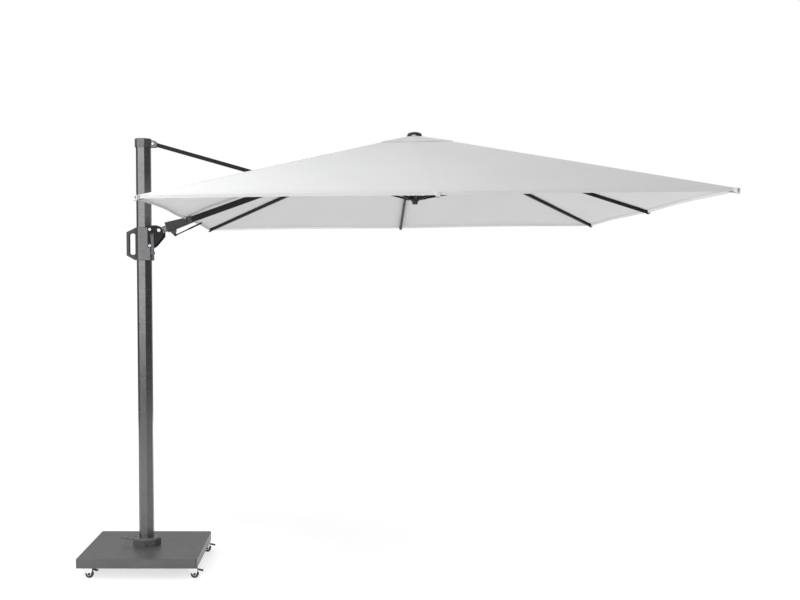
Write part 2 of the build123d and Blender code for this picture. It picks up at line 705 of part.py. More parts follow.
def make_carriage_shell():
    near_side = [(x, -y) for x, y in reversed(CARRIAGE_OUTLINE)]
    with BuildPart() as carriage_shell:
        with BuildSketch(Plane.XY.offset(CARRIAGE_BOTTOM)):
            Polygon(*CARRIAGE_OUTLINE, *near_side, align=None)
        extrude(amount=CARRIAGE_TOP - CARRIAGE_BOTTOM)
        fillet(carriage_shell.edges().filter_by(Axis.Z), CARRIAGE_ROUND)
        ends = carriage_shell.faces().filter_by(Axis.Z)
        chamfer([edge for end in ends for edge in end.edges()], CARRIAGE_CHAMFER)
        with BuildSketch(Plane.XY.offset(CARRIAGE_BOTTOM)):
            mast_profile(LINER_GAP + LINER_WALL)
        extrude(amount=CARRIAGE_TOP - CARRIAGE_BOTTOM, mode=Mode.SUBTRACT)
        for side in (-1, 1):
            with BuildSketch(Plane.XZ.offset(side * CARRIAGE_HALF_WIDTH)):
                with Locations(*BRACKET_BOLTS):
                    Circle(BRACKET_BOLT_RADIUS)
            extrude(amount=-side * (BRACKET_BOLT_DEPTH + 2), mode=Mode.SUBTRACT)
    save(carriage_shell, "carriage_shell")


def make_carriage_liner():
    with BuildPart() as carriage_liner:
        for bottom in (CARRIAGE_BOTTOM + LINER_INSET, CARRIAGE_TOP - LINER_INSET - LINER_HEIGHT):
            with BuildSketch(Plane.XY.offset(bottom)):
                mast_profile(LINER_GAP + LINER_WALL)
            extrude(amount=LINER_HEIGHT)
            with BuildSketch(Plane.XY.offset(bottom)):
                mast_profile(LINER_GAP)
            extrude(amount=LINER_HEIGHT, mode=Mode.SUBTRACT)
    save(carriage_liner, "carriage_liner")


def make_carriage_handle():
    low, high = FINGER_GAP
    with BuildPart() as carriage_handle:
        with BuildSketch(Plane.XZ):
            Polygon((CARRIAGE_LEFT, high + HANDLE_ROOT), (HANDLE_SHOULDER, high + HANDLE_ROOT),
                    (HANDLE_LEFT, high + HANDLE_TURN[0]), (HANDLE_LEFT, low - HANDLE_TURN[1]),
                    (HANDLE_SHOULDER, low - HANDLE_ROOT), (CARRIAGE_LEFT, low - HANDLE_ROOT), align=None)
            with Locations((CARRIAGE_LEFT, low)):
                RectangleRounded(CARRIAGE_LEFT - FINGER_GAP_LEFT, high - low, FINGER_GAP_ROUND,
                                 align=(Align.MAX, Align.MIN), mode=Mode.SUBTRACT)
        extrude(amount=HANDLE_HALF_WIDTH, both=True)
        sides = carriage_handle.faces().filter_by(Axis.Y)
        rim = [edge for face in sides for edge in face.edges() if edge.center().X < CARRIAGE_LEFT - 1]
        fillet(rim, HANDLE_FILLET)
    save(carriage_handle, "carriage_handle")


def make_boom_bracket():
    inner = CARRIAGE_HALF_WIDTH
    outer = inner + BRACKET_THICKNESS
    web_bottom, web_height, web_thickness = BRACKET_WEB
    with BuildPart() as boom_bracket:
        with BuildSketch(Plane.XZ):
            Polygon(*BRACKET_OUTLINE, align=None)
        extrude(amount=outer, both=True)
        with BuildSketch(Plane.XZ):
            with Locations((0, CARRIAGE_BOTTOM)):
                Rectangle(2 * BRACKET_OUTLINE[4][0] + 1, 2 * (CARRIAGE_TOP - CARRIAGE_BOTTOM),
                          align=(Align.CENTER, Align.MIN))
        extrude(amount=inner, both=True, mode=Mode.SUBTRACT)
        with BuildSketch(Plane.XZ):
            with Locations((CARRIAGE_RIGHT, web_bottom)):
                Rectangle(web_thickness, web_height, align=(Align.MIN, Align.MIN))
        extrude(amount=inner, both=True)
        with BuildSketch(Plane.XZ):
            with Locations(*BRACKET_BOLTS):
                Circle(BRACKET_BOLT_RADIUS)
            with Locations(BOOM_PIVOT):
                Circle(BOOM_PIN_RADIUS)
        extrude(amount=outer, both=True, mode=Mode.SUBTRACT)
        with BuildSketch(Plane.XZ.offset(outer)):
            with Locations(LEVER_PIVOT):
                Circle(BRACKET_BOLT_RADIUS)
        extrude(amount=LEVER_STUD)
    save(boom_bracket, "boom_bracket")


def make_carriage_bolts():
    outer = CARRIAGE_HALF_WIDTH + BRACKET_THICKNESS
    with BuildPart() as carriage_bolts:
        for side in (-1, 1):
            with BuildSketch(Plane.XZ.offset(side * (CARRIAGE_HALF_WIDTH - BRACKET_BOLT_DEPTH))):
                with Locations(*BRACKET_BOLTS):
                    Circle(BRACKET_BOLT_RADIUS)
            extrude(amount=side * (outer - CARRIAGE_HALF_WIDTH + BRACKET_BOLT_DEPTH))
            with BuildSketch(Plane.XZ.offset(side * outer)):
                with Locations(*BRACKET_BOLTS):
                    Circle(BOLT_HEAD_RADIUS)
                    RegularPolygon(BRACKET_BOLT_RADIUS, 6, mode=Mode.SUBTRACT)
            extrude(amount=side * BOLT_HEAD_HEIGHT)
    save(carriage_bolts, "carriage_bolts")


def make_boom_pin():
    outer = CARRIAGE_HALF_WIDTH + BRACKET_THICKNESS
    with BuildPart() as boom_pin:
        with BuildSketch(Plane.XZ):
            with Locations(BOOM_PIVOT):
                Circle(BOOM_PIN_RADIUS)
        extrude(amount=outer, both=True)
        for side in (-1, 1):
            with BuildSketch(Plane.XZ.offset(side * outer)):
                with Locations(BOOM_PIVOT):
                    Circle(BOOM_PIN_HEAD_RADIUS)
            extrude(amount=side * BOLT_HEAD_HEIGHT)
    save(boom_pin, "boom_pin")


def make_lock_lever():
    near_face = CARRIAGE_HALF_WIDTH + BRACKET_THICKNESS + 1
    reach = math.dist(LEVER_PIVOT, LEVER_TIP)
    along = (LEVER_TIP[0] - LEVER_PIVOT[0], 0, LEVER_TIP[1] - LEVER_PIVOT[1])
    side = Plane(origin=(LEVER_PIVOT[0], -near_face, LEVER_PIVOT[1]), x_dir=along, z_dir=(0, -1, 0))
    with BuildPart() as lock_lever:
        with BuildSketch(side):
            Circle(LEVER_BOSS_RADIUS)
            with Locations((reach / 2, 0)):
                Rectangle(reach, LEVER_WIDTH)
        extrude(amount=LEVER_THICKNESS)
        with BuildSketch(side):
            with Locations((reach, 0)):
                Circle(LEVER_KNOB_RADIUS)
        extrude(amount=LEVER_KNOB_HEIGHT)
        fillet(lock_lever.faces().sort_by(Axis.Y)[0].edges(), LEVER_KNOB_FILLET)
        with BuildSketch(side):
            Circle(BRACKET_BOLT_RADIUS + RUNNING)
        extrude(amount=LEVER_THICKNESS, mode=Mode.SUBTRACT)
    save(lock_lever, "lock_lever")


# boom


def make_boom_neck():
    barrel_half = CARRIAGE_HALF_WIDTH - SWIVEL_GAP
    with BuildPart() as boom_neck:
        with BuildSketch(boom_section(0)):
            Circle(NECK_RADIUS)
        extrude(amount=NECK_LENGTH)
        with BuildSketch(boom_section(0)):
            Circle(SHAFT_RADIUS)
        extrude(amount=SHAFT_END)
        with BuildSketch(boom_side()):
            Circle(NECK_BARREL_RADIUS)
        extrude(amount=barrel_half, both=True)
        with BuildSketch(boom_side()):
            Circle(BOOM_PIN_RADIUS + RUNNING)
        extrude(amount=barrel_half, both=True, mode=Mode.SUBTRACT)
    save(boom_neck, "boom_neck")


def make_boom_sleeve():
    lug_outer = SLEEVE_LUG_INNER + SLEEVE_LUG_THICKNESS
    with BuildPart() as boom_sleeve:
        with BuildSketch(boom_section(SLEEVE_START)):
            with Locations((0, SLEEVE_START_RISE)):
                RectangleRounded(*SLEEVE_START_SIZE, SLEEVE_START_CORNER)
        with BuildSketch(boom_section(SLEEVE_END)):
            RectangleRounded(BOOM_WIDTH + 2 * SLEEVE_END_WALL, BOOM_DEPTH + 2 * SLEEVE_END_WALL,
                             SLEEVE_END_CORNER)
        loft()
        with BuildSketch(boom_side()):
            Polygon(*SLEEVE_LUG_OUTLINE, align=None)
        extrude(amount=lug_outer, both=True)
        with BuildSketch(boom_side()):
            Polygon(*SLEEVE_LUG_GAP, align=None)
        extrude(amount=SLEEVE_LUG_INNER, both=True, mode=Mode.SUBTRACT)
        with BuildSketch(boom_side()):
            with Locations(TILT_PIVOT):
                Circle(TILT_PIN_RADIUS)
        extrude(amount=lug_outer, both=True)
        with BuildSketch(boom_section(SLEEVE_START)):
            Circle(SHAFT_RADIUS + RUNNING)
        extrude(amount=SLEEVE_POCKET - SLEEVE_START, mode=Mode.SUBTRACT)
        with BuildSketch(boom_section(SLEEVE_POCKET)):
            RectangleRounded(BOOM_WIDTH, BOOM_DEPTH, BOOM_CORNER)
        extrude(amount=SLEEVE_END - SLEEVE_POCKET, mode=Mode.SUBTRACT)
    save(boom_sleeve, "boom_sleeve")


def make_tilt_lever():
    rod_length = math.dist(TILT_ROD_START, TILT_ROD_END)
    side = boom_side()
    start = side.from_local_coords(Vector(*TILT_ROD_START, 0))
    end = side.from_local_coords(Vector(*TILT_ROD_END, 0))
    half_width = SLEEVE_LUG_INNER - SWIVEL_GAP
    arm = [(TILT_ROD_START[0] + x, TILT_ROD_START[1] + y) for x, y in TILT_ARM_OUTLINE]
    with BuildPart() as tilt_lever:
        with BuildSketch(side):
            with Locations(TILT_PIVOT):
                Circle(TILT_EYE_RADIUS)
            Polygon((TILT_PIVOT[0] - TILT_EYE_RADIUS, TILT_PIVOT[1]),
                    (TILT_PIVOT[0] + TILT_EYE_RADIUS, TILT_PIVOT[1]), *arm, align=None)
        extrude(amount=half_width, both=True)
        with BuildSketch(side):
            with Locations(TILT_PIVOT):
                Circle(TILT_PIN_RADIUS + RUNNING)
        extrude(amount=half_width, both=True, mode=Mode.SUBTRACT)
        with BuildSketch(Plane(origin=start, z_dir=end - start)):
            Circle(TILT_ROD_RADIUS)
        extrude(amount=rod_length)
        with BuildSketch(Plane(origin=start + (end - start) * 0.5, z_dir=end - start)):
            Circle(TILT_ROD_RADIUS + TILT_GRIP_WALL)
        extrude(amount=rod_length / 2 + TILT_GRIP_BEYOND)
    save(tilt_lever, "tilt_lever")


def make_boom_tube():
    with BuildPart() as boom_tube:
        with BuildSketch(boom_section(BOOM_START)):
            RectangleRounded(BOOM_WIDTH, BOOM_DEPTH, BOOM_CORNER)
            RectangleRounded(BOOM_WIDTH - 2 * BOOM_WALL, BOOM_DEPTH - 2 * BOOM_WALL, BOOM_CORNER - BOOM_WALL,
                             mode=Mode.SUBTRACT)
        extrude(amount=BOOM_END - BOOM_START)
    save(boom_tube, "boom_tube")


def make_collar_bush():
    middle = STRUT_FOOT[0]
    inside = COLLAR_HALF_LENGTH + SWIVEL_GAP
    with BuildPart() as collar_bush:
        with BuildSketch(boom_section(middle - inside)):
            Circle(COLLAR_BORE - COLLAR_CLEARANCE)
        extrude(amount=2 * inside)
        for start in (middle - inside - BUSH_FLANGE, middle + inside):
            with BuildSketch(boom_section(start)):
                Circle(BUSH_FLANGE_RADIUS)
            extrude(amount=BUSH_FLANGE)
        with BuildSketch(boom_section(middle - inside - BUSH_FLANGE)):
            RectangleRounded(BOOM_WIDTH, BOOM_DEPTH, BOOM_CORNER)
        extrude(amount=2 * (inside + BUSH_FLANGE), mode=Mode.SUBTRACT)
    save(collar_bush, "collar_bush")


def make_strut_collar():
    along, above = STRUT_FOOT
    with BuildPart() as strut_collar:
        with BuildSketch(boom_side()):
            with Locations((along, 0)):
                Rectangle(2 * COLLAR_POST_RADIUS, above, align=(Align.CENTER, Align.MIN))
            with Locations(STRUT_FOOT):
                Circle(COLLAR_POST_RADIUS)
        extrude(amount=COLLAR_POST_HALF_WIDTH, both=True)
        with BuildSketch(boom_section(along - COLLAR_HALF_LENGTH)):
            Circle(COLLAR_RADIUS)
        extrude(amount=2 * COLLAR_HALF_LENGTH)
        with BuildSketch(boom_side()):
            with Locations(STRUT_FOOT):
                Circle(TRUNNION_RADIUS)
        extrude(amount=STRUT_LEG_INNER - 1, both=True)
        with BuildSketch(boom_section(along - COLLAR_HALF_LENGTH)):
            Circle(COLLAR_BORE)
        extrude(amount=2 * COLLAR_HALF_LENGTH, mode=Mode.SUBTRACT)
    save(strut_collar, "strut_collar")


# canopy


def frustum(low, low_half_side, high, high_half_side, mode=Mode.ADD):
    """Adds a square frustum between two levels of the canopy to the part being built."""
    with BuildSketch(canopy_level(low)) as low_square:
        Rectangle(2 * low_half_side, 2 * low_half_side)
    with BuildSketch(canopy_level(high)) as high_square:
        Rectangle(2 * high_half_side, 2 * high_half_side)
    loft(sections=[low_square.sketch.face(), high_square.sketch.face()], mode=mode)


def make_canopy():
    fall = (CANOPY_APEX - CANOPY_RIM) / CANOPY_HALF_SIDE
    hole_level = CANOPY_APEX - fall * VENT_HOLE_HALF
    beyond = CLOTH_THICKNESS / fall
    foot = canopy_level(0).to_local_coords(boom_side().from_local_coords(Vector(*STRUT_FOOT, 0)))
    with BuildPart() as canopy:
        frustum(CANOPY_RIM, CANOPY_HALF_SIDE, hole_level, VENT_HOLE_HALF)
        frustum(CANOPY_RIM - 2 * CLOTH_THICKNESS, CANOPY_HALF_SIDE + beyond, hole_level + CLOTH_THICKNESS,
                VENT_HOLE_HALF - 2 * beyond, mode=Mode.SUBTRACT)
        with BuildSketch(canopy_level(CANOPY_RIM)):
            with Locations((foot.X - SLIT_TOWARDS_MAST, 0)):
                Rectangle(SLIT_TOWARDS_MAST + SLIT_TOWARDS_HUB, 2 * SLIT_HALF_WIDTH,
                          align=(Align.MIN, Align.CENTER))
        extrude(amount=CANOPY_APEX, mode=Mode.SUBTRACT)
    save(canopy, "canopy")


def make_vent_flap():
    fall = (CANOPY_APEX - FLAP_RIM) / FLAP_HALF_SIDE
    top_half = FLAP_HOLE_RADIUS
    beyond = CLOTH_THICKNESS / fall
    with BuildPart() as vent_flap:
        frustum(FLAP_RIM, FLAP_HALF_SIDE, CANOPY_APEX - fall * top_half, top_half)
        frustum(FLAP_RIM - 2 * CLOTH_THICKNESS, FLAP_HALF_SIDE + beyond, CANOPY_APEX - 2 * CLOTH_THICKNESS,
                beyond, mode=Mode.SUBTRACT)
        with BuildSketch(canopy_level(FLAP_RIM)):
            Circle(FLAP_HOLE_RADIUS)
        extrude(amount=CANOPY_APEX - FLAP_RIM, mode=Mode.SUBTRACT)
    save(vent_flap, "vent_flap")


def make_finial():
    outwards, upwards = canopy_axes()
    axis = Axis(canopy_level(0).origin, upwards)
    crown = (FINIAL_CROWN_RADIUS, FINIAL_TOP)
    edge = (FINIAL_RADIUS, FINIAL_RIM + FINIAL_EDGE)
    with BuildPart() as finial:
        with BuildSketch(rib_side(0)):
            with BuildLine():
                Polyline(crown, (0, FINIAL_TOP), (0, HUB_BOSS_TOP), (FINIAL_STEM_RADIUS, HUB_BOSS_TOP),
                         (FINIAL_STEM_RADIUS, CANOPY_APEX + 1), (FINIAL_RADIUS, FINIAL_RIM), edge)
                ThreePointArc(edge, FINIAL_SHOULDER, crown)
            make_face()
        revolve(axis=axis)
    save(finial, "finial")


# hub, ribs and stretchers


def make_canopy_hub():
    with BuildPart() as canopy_hub:
        with BuildSketch(canopy_level(HUB_BOTTOM)):
            Circle(HUB_RADIUS)
        extrude(amount=HUB_TOP - HUB_BOTTOM)
        with BuildSketch(canopy_level(HUB_CORE_BOTTOM)):
            Circle(HUB_CORE_RADIUS)
        extrude(amount=HUB_TOP - HUB_CORE_BOTTOM)
        with BuildSketch(canopy_level(HUB_TOP)):
            Circle(HUB_BOSS_RADIUS)
        extrude(amount=HUB_BOSS_TOP - HUB_TOP)
        with BuildSketch(boom_section(HUB_TONGUE_START)):
            RectangleRounded(*HUB_TONGUE, BOOM_CORNER - BOOM_WALL)
        extrude(amount=HUB_TONGUE_END - HUB_TONGUE_START)
        for azimuth in RIB_AZIMUTHS.values():
            with BuildSketch(rib_side(azimuth)):
                with Locations((HUB_SLOT_START, HUB_CORE_BOTTOM)):
                    Rectangle(HUB_RADIUS, 2 * (HUB_TOP - HUB_CORE_BOTTOM), align=(Align.MIN, Align.MIN))
            extrude(amount=HUB_SLOT_HALF_WIDTH, both=True, mode=Mode.SUBTRACT)
            with BuildSketch(rib_side(azimuth)):
                with Locations(RIB_HINGE):
                    Circle(RIB_PIN_RADIUS)
            extrude(amount=2 * RIB_WIDTH, both=True, mode=Mode.SUBTRACT)
    save(canopy_hub, "canopy_hub")


def make_hub_pins():
    with BuildPart() as hub_pins:
        for azimuth in RIB_AZIMUTHS.values():
            with BuildSketch(rib_side(azimuth)):
                with Locations(RIB_HINGE):
                    Circle(RIB_PIN_RADIUS)
            extrude(amount=RIB_WIDTH, both=True)
    save(hub_pins, "hub_pins")


def make_rib(place, azimuth):
    side = along_rib_side(azimuth)
    joint = joint_along_rib(azimuth)
    length = (rib_reach(azimuth) - RIB_HINGE[0]) / math.cos(rib_slope(azimuth))
    with BuildPart() as rib:
        with BuildSketch(side):
            Circle(RIB_DEPTH / 2)
            Rectangle(length, RIB_DEPTH, align=(Align.MIN, Align.CENTER))
        extrude(amount=RIB_WIDTH / 2, both=True)
        with BuildSketch(side):
            with Locations((RIB_ROOT_LENGTH, 0)):
                Rectangle(length - RIB_ROOT_LENGTH - RIB_CAP_LENGTH, RIB_DEPTH - 2 * RIB_WALL,
                          align=(Align.MIN, Align.CENTER))
        extrude(amount=RIB_WIDTH / 2 - RIB_WALL, both=True, mode=Mode.SUBTRACT)
        with BuildSketch(side):
            with Locations((length + RIB_CAP_BEYOND, 0)):
                Rectangle(RIB_CAP_LENGTH, RIB_DEPTH + 2 * RIB_CAP_GROW, align=(Align.MAX, Align.CENTER))
        extrude(amount=RIB_WIDTH / 2 + RIB_CAP_GROW, both=True)
        with BuildSketch(side):
            with Locations((joint, -JOINT_BELOW_RIB)):
                Circle(RIB_EAR_RADIUS)
            with Locations((joint, -RIB_DEPTH / 2)):
                Rectangle(2 * RIB_EAR_HALF_LENGTH, JOINT_BELOW_RIB - RIB_DEPTH / 2,
                          align=(Align.CENTER, Align.MAX))
        extrude(amount=RIB_WIDTH / 2, both=True)
        with BuildSketch(side):
            with Locations((joint, -RIB_DEPTH / 2)):
                Rectangle(3 * RIB_EAR_HALF_LENGTH, RIB_DEPTH, align=(Align.CENTER, Align.MAX))
        extrude(amount=RIB_EAR_INNER, both=True, mode=Mode.SUBTRACT)
        with BuildSketch(side):
            with Locations((joint, -JOINT_BELOW_RIB)):
                Circle(RIB_PIN_RADIUS)
        extrude(amount=RIB_WIDTH / 2, both=True)
        with BuildSketch(side):
            Circle(RIB_PIN_RADIUS + RUNNING)
        extrude(amount=RIB_WIDTH / 2, both=True, mode=Mode.SUBTRACT)
    save(rib, f"rib_{place}")


def make_stretcher(place, azimuth):
    upright = rib_side(azimuth)
    joint = rib_point(rib_slope(azimuth), joint_along_rib(azimuth), JOINT_BELOW_RIB)
    outer_end = upright.from_local_coords(joint)
    inner_end = upright.from_local_coords(Vector(*RUNNER_PIVOT, 0))
    length = (outer_end - inner_end).length
    side = Plane(origin=inner_end, x_dir=outer_end - inner_end, z_dir=upright.z_dir)
    with BuildPart() as stretcher:
        with BuildSketch(side):
            Rectangle(length, STRETCHER_DEPTH, align=(Align.MIN, Align.CENTER))
            with Locations((0, 0), (length, 0)):
                Circle(STRETCHER_DEPTH / 2)
            with Locations((0, 0), (length, 0)):
                Circle(RIB_PIN_RADIUS + RUNNING, mode=Mode.SUBTRACT)
        extrude(amount=STRETCHER_HALF_WIDTH, both=True)
    save(stretcher, f"stretcher_{place}")


def make_runner():
    with BuildPart() as runner:
        with BuildSketch(canopy_level(RUNNER_BOTTOM)):
            Circle(RUNNER_CORE_RADIUS)
        extrude(amount=RUNNER_TOP - RUNNER_BOTTOM)
        with BuildSketch(canopy_level(RUNNER_TOP)):
            Circle(RUNNER_PLATE_RADIUS)
        extrude(amount=RUNNER_PLATE)
        cheek_start = RUNNER_CORE_RADIUS - RUNNER_CHEEK_OVERLAP
        cheek_bottom = RUNNER_PIVOT[1] - RUNNER_CHEEK_BELOW
        for azimuth in RIB_AZIMUTHS.values():
            for cheek in (-1, 1):
                with BuildSketch(rib_side(azimuth).offset(cheek * RUNNER_CHEEK_INNER)):
                    with Locations((cheek_start, cheek_bottom)):
                        Rectangle(RUNNER_CHEEK_REACH - cheek_start, RUNNER_TOP - cheek_bottom,
                                  align=(Align.MIN, Align.MIN))
                extrude(amount=cheek * RUNNER_CHEEK)
            with BuildSketch(rib_side(azimuth)):
                with Locations((RUNNER_SLOT_START, RUNNER_TOP)):
                    Rectangle(RUNNER_PLATE_RADIUS, RUNNER_PLATE, align=(Align.MIN, Align.MIN))
            extrude(amount=RUNNER_CHEEK_INNER, both=True, mode=Mode.SUBTRACT)
    save(runner, "runner")


def make_runner_knob():
    with BuildPart() as runner_knob:
        with BuildSketch(canopy_level(KNOB_BOTTOM)):
            Circle(KNOB_RADIUS)
        extrude(amount=RUNNER_BOTTOM - KNOB_BOTTOM)
        fillet(runner_knob.faces().sort_by(Axis.Z)[0].edges(), KNOB_FILLET)
    save(runner_knob, "runner_knob")


def main():
    os.makedirs("parts", exist_ok=True)
    make_base_cover()
    make_base_tray()
    make_ballast_slab()
    make_foot_socket()
    make_base_bolts()
    make_turn_bush()
    make_foot_pedal()
    make_casters()
    make_mast_tube()
    make_mast_spigot()
    make_mast_head()
    make_strut_pin()
    make_strut()
    make_carriage_shell()
    make_carriage_liner()
    make_carriage_handle()
    make_boom_bracket()
    make_carriage_bolts()
    make_boom_pin()
    make_lock_lever()
    make_boom_neck()
    make_boom_sleeve()
    make_tilt_lever()
    make_boom_tube()
    make_collar_bush()
    make_strut_collar()
    make_canopy()
    make_vent_flap()
    make_finial()
    make_canopy_hub()
    make_hub_pins()
    for place, azimuth in RIB_AZIMUTHS.items():
        make_rib(place, azimuth)
        make_stretcher(place, azimuth)
    make_runner()
    make_runner_knob()


main()
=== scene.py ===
import json
import math
from collections import namedtuple

import bpy
from mathutils import Matrix, Vector


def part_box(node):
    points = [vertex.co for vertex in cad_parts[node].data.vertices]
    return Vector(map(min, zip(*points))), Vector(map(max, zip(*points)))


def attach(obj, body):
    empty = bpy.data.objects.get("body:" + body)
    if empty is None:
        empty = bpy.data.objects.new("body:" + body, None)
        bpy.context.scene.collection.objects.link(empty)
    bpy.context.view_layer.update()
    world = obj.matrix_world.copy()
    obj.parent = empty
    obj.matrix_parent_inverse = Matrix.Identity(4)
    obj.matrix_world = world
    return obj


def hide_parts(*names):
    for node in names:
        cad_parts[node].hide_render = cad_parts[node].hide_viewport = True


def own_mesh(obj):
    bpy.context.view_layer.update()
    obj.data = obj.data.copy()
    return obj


# A cantilever parasol: the cloth and a few fine pieces are made here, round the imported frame.
# Metres, in the frame's own axes: the floor under the mast is the origin and the canopy is over +X.

# the canopy's own axes: U runs on past the boom's end, V runs across and W up from the canopy's centre
CANOPY_CENTRE = Vector((1.7376, 0, 2.281))
CANOPY_TILT = math.radians(0.991)
U = Vector((math.cos(CANOPY_TILT), 0, math.sin(CANOPY_TILT)))
V = Vector((0, 1, 0))
W = Vector((-math.sin(CANOPY_TILT), 0, math.cos(CANOPY_TILT)))

# the square canopy: half its side, and the cloth's height at the rim and over the middle
HALF_SIDE = 1.5
RIM = 0.012
APEX = 0.505

# the vent in its middle, the flap over that, and the cap over both
VENT_HALF = 0.2
FLAP_HALF = 0.22
FLAP_RIM = 0.4375
CAP_HALF = 0.066
CAP_HOLE = 0.008

# how the cloth hangs between the ribs, and how far each rim pulls in there
PANEL_SAG = 0.0045
SAG_BY_MIDDLE_RIB = 0.25
SAG_SPAN = (0.12, 0.80)
SAG_ROUNDNESS = 0.8
RIM_SCALLOP = 0.014
SCALLOP_RAMP = (0.55, 0.45)
FLAP_SAG = 0.003
FLAP_SCALLOP = 0.008

# its thickness, the bands of the seams and hems, and the turned-down rims
CLOTH = 0.0016
SEAM_HALF = 0.0125
SEAM_RISE = 0.0004
HEM = 0.028
HEM_RISE = 0.0008
HEM_EDGE = 0.0001
HEM_TUCK = 1.5 * CLOTH
STEP = 0.0018
VALANCE = 0.016
FLAP_VALANCE = 0.003

# the pockets over the ribs' tips
POCKET_REACH = 0.0165
POCKET_DEPTH = 0.026

# the bound slit that the strut passes through: where it starts and ends, half its width, its binding
SLIT = (0.811, 0.941)
SLIT_HALF = 0.046
SLIT_BORDER = 0.012

# how the strap round the boom draws the rim in and down, and how far along and across that is felt
STRAP_PULL = 0.030
STRAP_DIP = 0.007
STRAP_REACH = (0.16, 0.20)

# the share of each sector's width that is left once the canopy is folded
FOLDED_CANOPY = 0.17
FOLDED_LEFT = 0.1
FOLDED_FLAP = 0.35

# each rib's azimuth, and how far its cloth reaches each way round the square:
# halfway to the next rib, or all the way to the boom's line where there is no rib
HALFWAY = 0.5
RIBS = {"mid_right": (0, HALFWAY, HALFWAY), "far_right": (45, HALFWAY, HALFWAY),
        "far_mid": (90, HALFWAY, HALFWAY), "far_left": (135, HALFWAY, 1.0),
        "near_left": (225, 1.0, HALFWAY), "near_mid": (270, HALFWAY, HALFWAY),
        "near_right": (315, HALFWAY, HALFWAY)}

BOOM_PIVOT = Vector((0.1028, 0, 2.1709))
BOOM_ANGLE = math.radians(19.9)
BOOM_ALONG = Vector((math.cos(BOOM_ANGLE), 0, math.sin(BOOM_ANGLE)))
BOOM_UP = Vector((-math.sin(BOOM_ANGLE), 0, math.cos(BOOM_ANGLE)))


def canopy_point(u, v, w):
    return CANOPY_CENTRE + U * u + V * v + W * w


# ---- the camera

CAMERA_AT = Vector((1.2337, -6.711, 1.8236))
CAMERA_YAW = 0.0133
CAMERA_PITCH = 0.0666
CAMERA_ROLL = 0.0042
LENS = 46.71
SENSOR = 36
SHIFT = (0.0625, 0.06875)


def make_camera():
    data = bpy.data.cameras.new("camera")
    data.lens = LENS
    data.sensor_width = SENSOR
    data.shift_x, data.shift_y = SHIFT
    camera = bpy.data.objects.new("camera", data)
    bpy.context.scene.collection.objects.link(camera)
    ahead = Vector((math.sin(CAMERA_YAW) * math.cos(CAMERA_PITCH),
                    math.cos(CAMERA_YAW) * math.cos(CAMERA_PITCH), -math.sin(CAMERA_PITCH)))
    turn = ahead.to_track_quat("-Z", "Y").to_matrix().to_4x4()
    camera.matrix_world = Matrix.Translation(CAMERA_AT) @ turn @ Matrix.Rotation(CAMERA_ROLL, 4, "Z")
    bpy.context.scene.camera = camera


# ---- materials, all from nodes

NOISE_SPAN = (0.3, 0.7)


def nodes_of(name):
    material = bpy.data.materials.new(name)
    material.use_nodes = True
    tree = material.node_tree
    return material, tree, tree.nodes["Principled BSDF"]


def noise(tree, scale, detail=4.0, stretch=None):
    """Noise in the object's own coordinates, in metres."""
    place = tree.nodes.new("ShaderNodeTexCoord")
    source = place.outputs["Object"]
    if stretch:
        mapping = tree.nodes.new("ShaderNodeMapping")
        mapping.inputs["Scale"].default_value = stretch
        tree.links.new(source, mapping.inputs["Vector"])
        source = mapping.outputs["Vector"]
    texture = tree.nodes.new("ShaderNodeTexNoise")
    texture.inputs["Scale"].default_value = scale
    texture.inputs["Detail"].default_value = detail
    tree.links.new(source, texture.inputs["Vector"])
    return texture.outputs["Fac"]


def ranged(tree, value, low, high):
    """Noise's usual span, spread out from low to high."""
    spread = tree.nodes.new("ShaderNodeMapRange")
    spread.inputs["From Min"].default_value = NOISE_SPAN[0]
    spread.inputs["From Max"].default_value = NOISE_SPAN[1]
    spread.inputs["To Min"].default_value = low
    spread.inputs["To Max"].default_value = high
    tree.links.new(value, spread.inputs["Value"])
    return spread.outputs["Result"]


def colour_between(tree, value, first, second):
    mix = tree.nodes.new("ShaderNodeMix")
    mix.data_type = "RGBA"
    mix.inputs["A"].default_value = (*first, 1)
    mix.inputs["B"].default_value = (*second, 1)
    tree.links.new(value, mix.inputs["Factor"])
    return mix.outputs["Result"]


def bump(tree, height, strength, distance, under=None):
    node = tree.nodes.new("ShaderNodeBump")
    node.inputs["Strength"].default_value = strength
    node.inputs["Distance"].default_value = distance
    tree.links.new(height, node.inputs["Height"])
    if under is not None:
        tree.links.new(under, node.inputs["Normal"])
    return node.outputs["Normal"]


def math_node(tree, operation, first, second):
    node = tree.nodes.new("ShaderNodeMath")
    node.operation = operation
    for socket, value in zip(node.inputs, (first, second)):
        if isinstance(value, (int, float)):
            socket.default_value = value
        else:
            tree.links.new(value, socket)
    return node.outputs["Value"]


def coated_metal(name, colour, roughness, grain=1400.0, depth=0.00006, metallic=0.0, specular=0.5):
    """Powder-coated metal: a fine orange peel, faint cloudiness and a little dust lying in patches."""
    material, tree, surface = nodes_of(name)
    cloud = colour_between(tree, ranged(tree, noise(tree, 9.0), 0, 1), [c * 0.94 for c in colour],
                           [c * 1.08 for c in colour])
    dusty = tree.nodes.new("ShaderNodeMix")
    dusty.data_type = "RGBA"
    dusty.inputs["B"].default_value = (*[c + 0.02 for c in colour], 1)
    tree.links.new(math_node(tree, "MULTIPLY", ranged(tree, noise(tree, 3.0, 6.0), 0, 1), 0.25),
                   dusty.inputs["Factor"])
    tree.links.new(cloud, dusty.inputs["A"])
    tree.links.new(dusty.outputs["Result"], surface.inputs["Base Color"])
    tree.links.new(ranged(tree, noise(tree, 40.0), roughness * 0.9, roughness * 1.1),
                   surface.inputs["Roughness"])
    tree.links.new(bump(tree, noise(tree, grain, 2.0), 0.1, depth), surface.inputs["Normal"])
    surface.inputs["Metallic"].default_value = metallic
    surface.inputs["Specular IOR Level"].default_value = specular
    return material


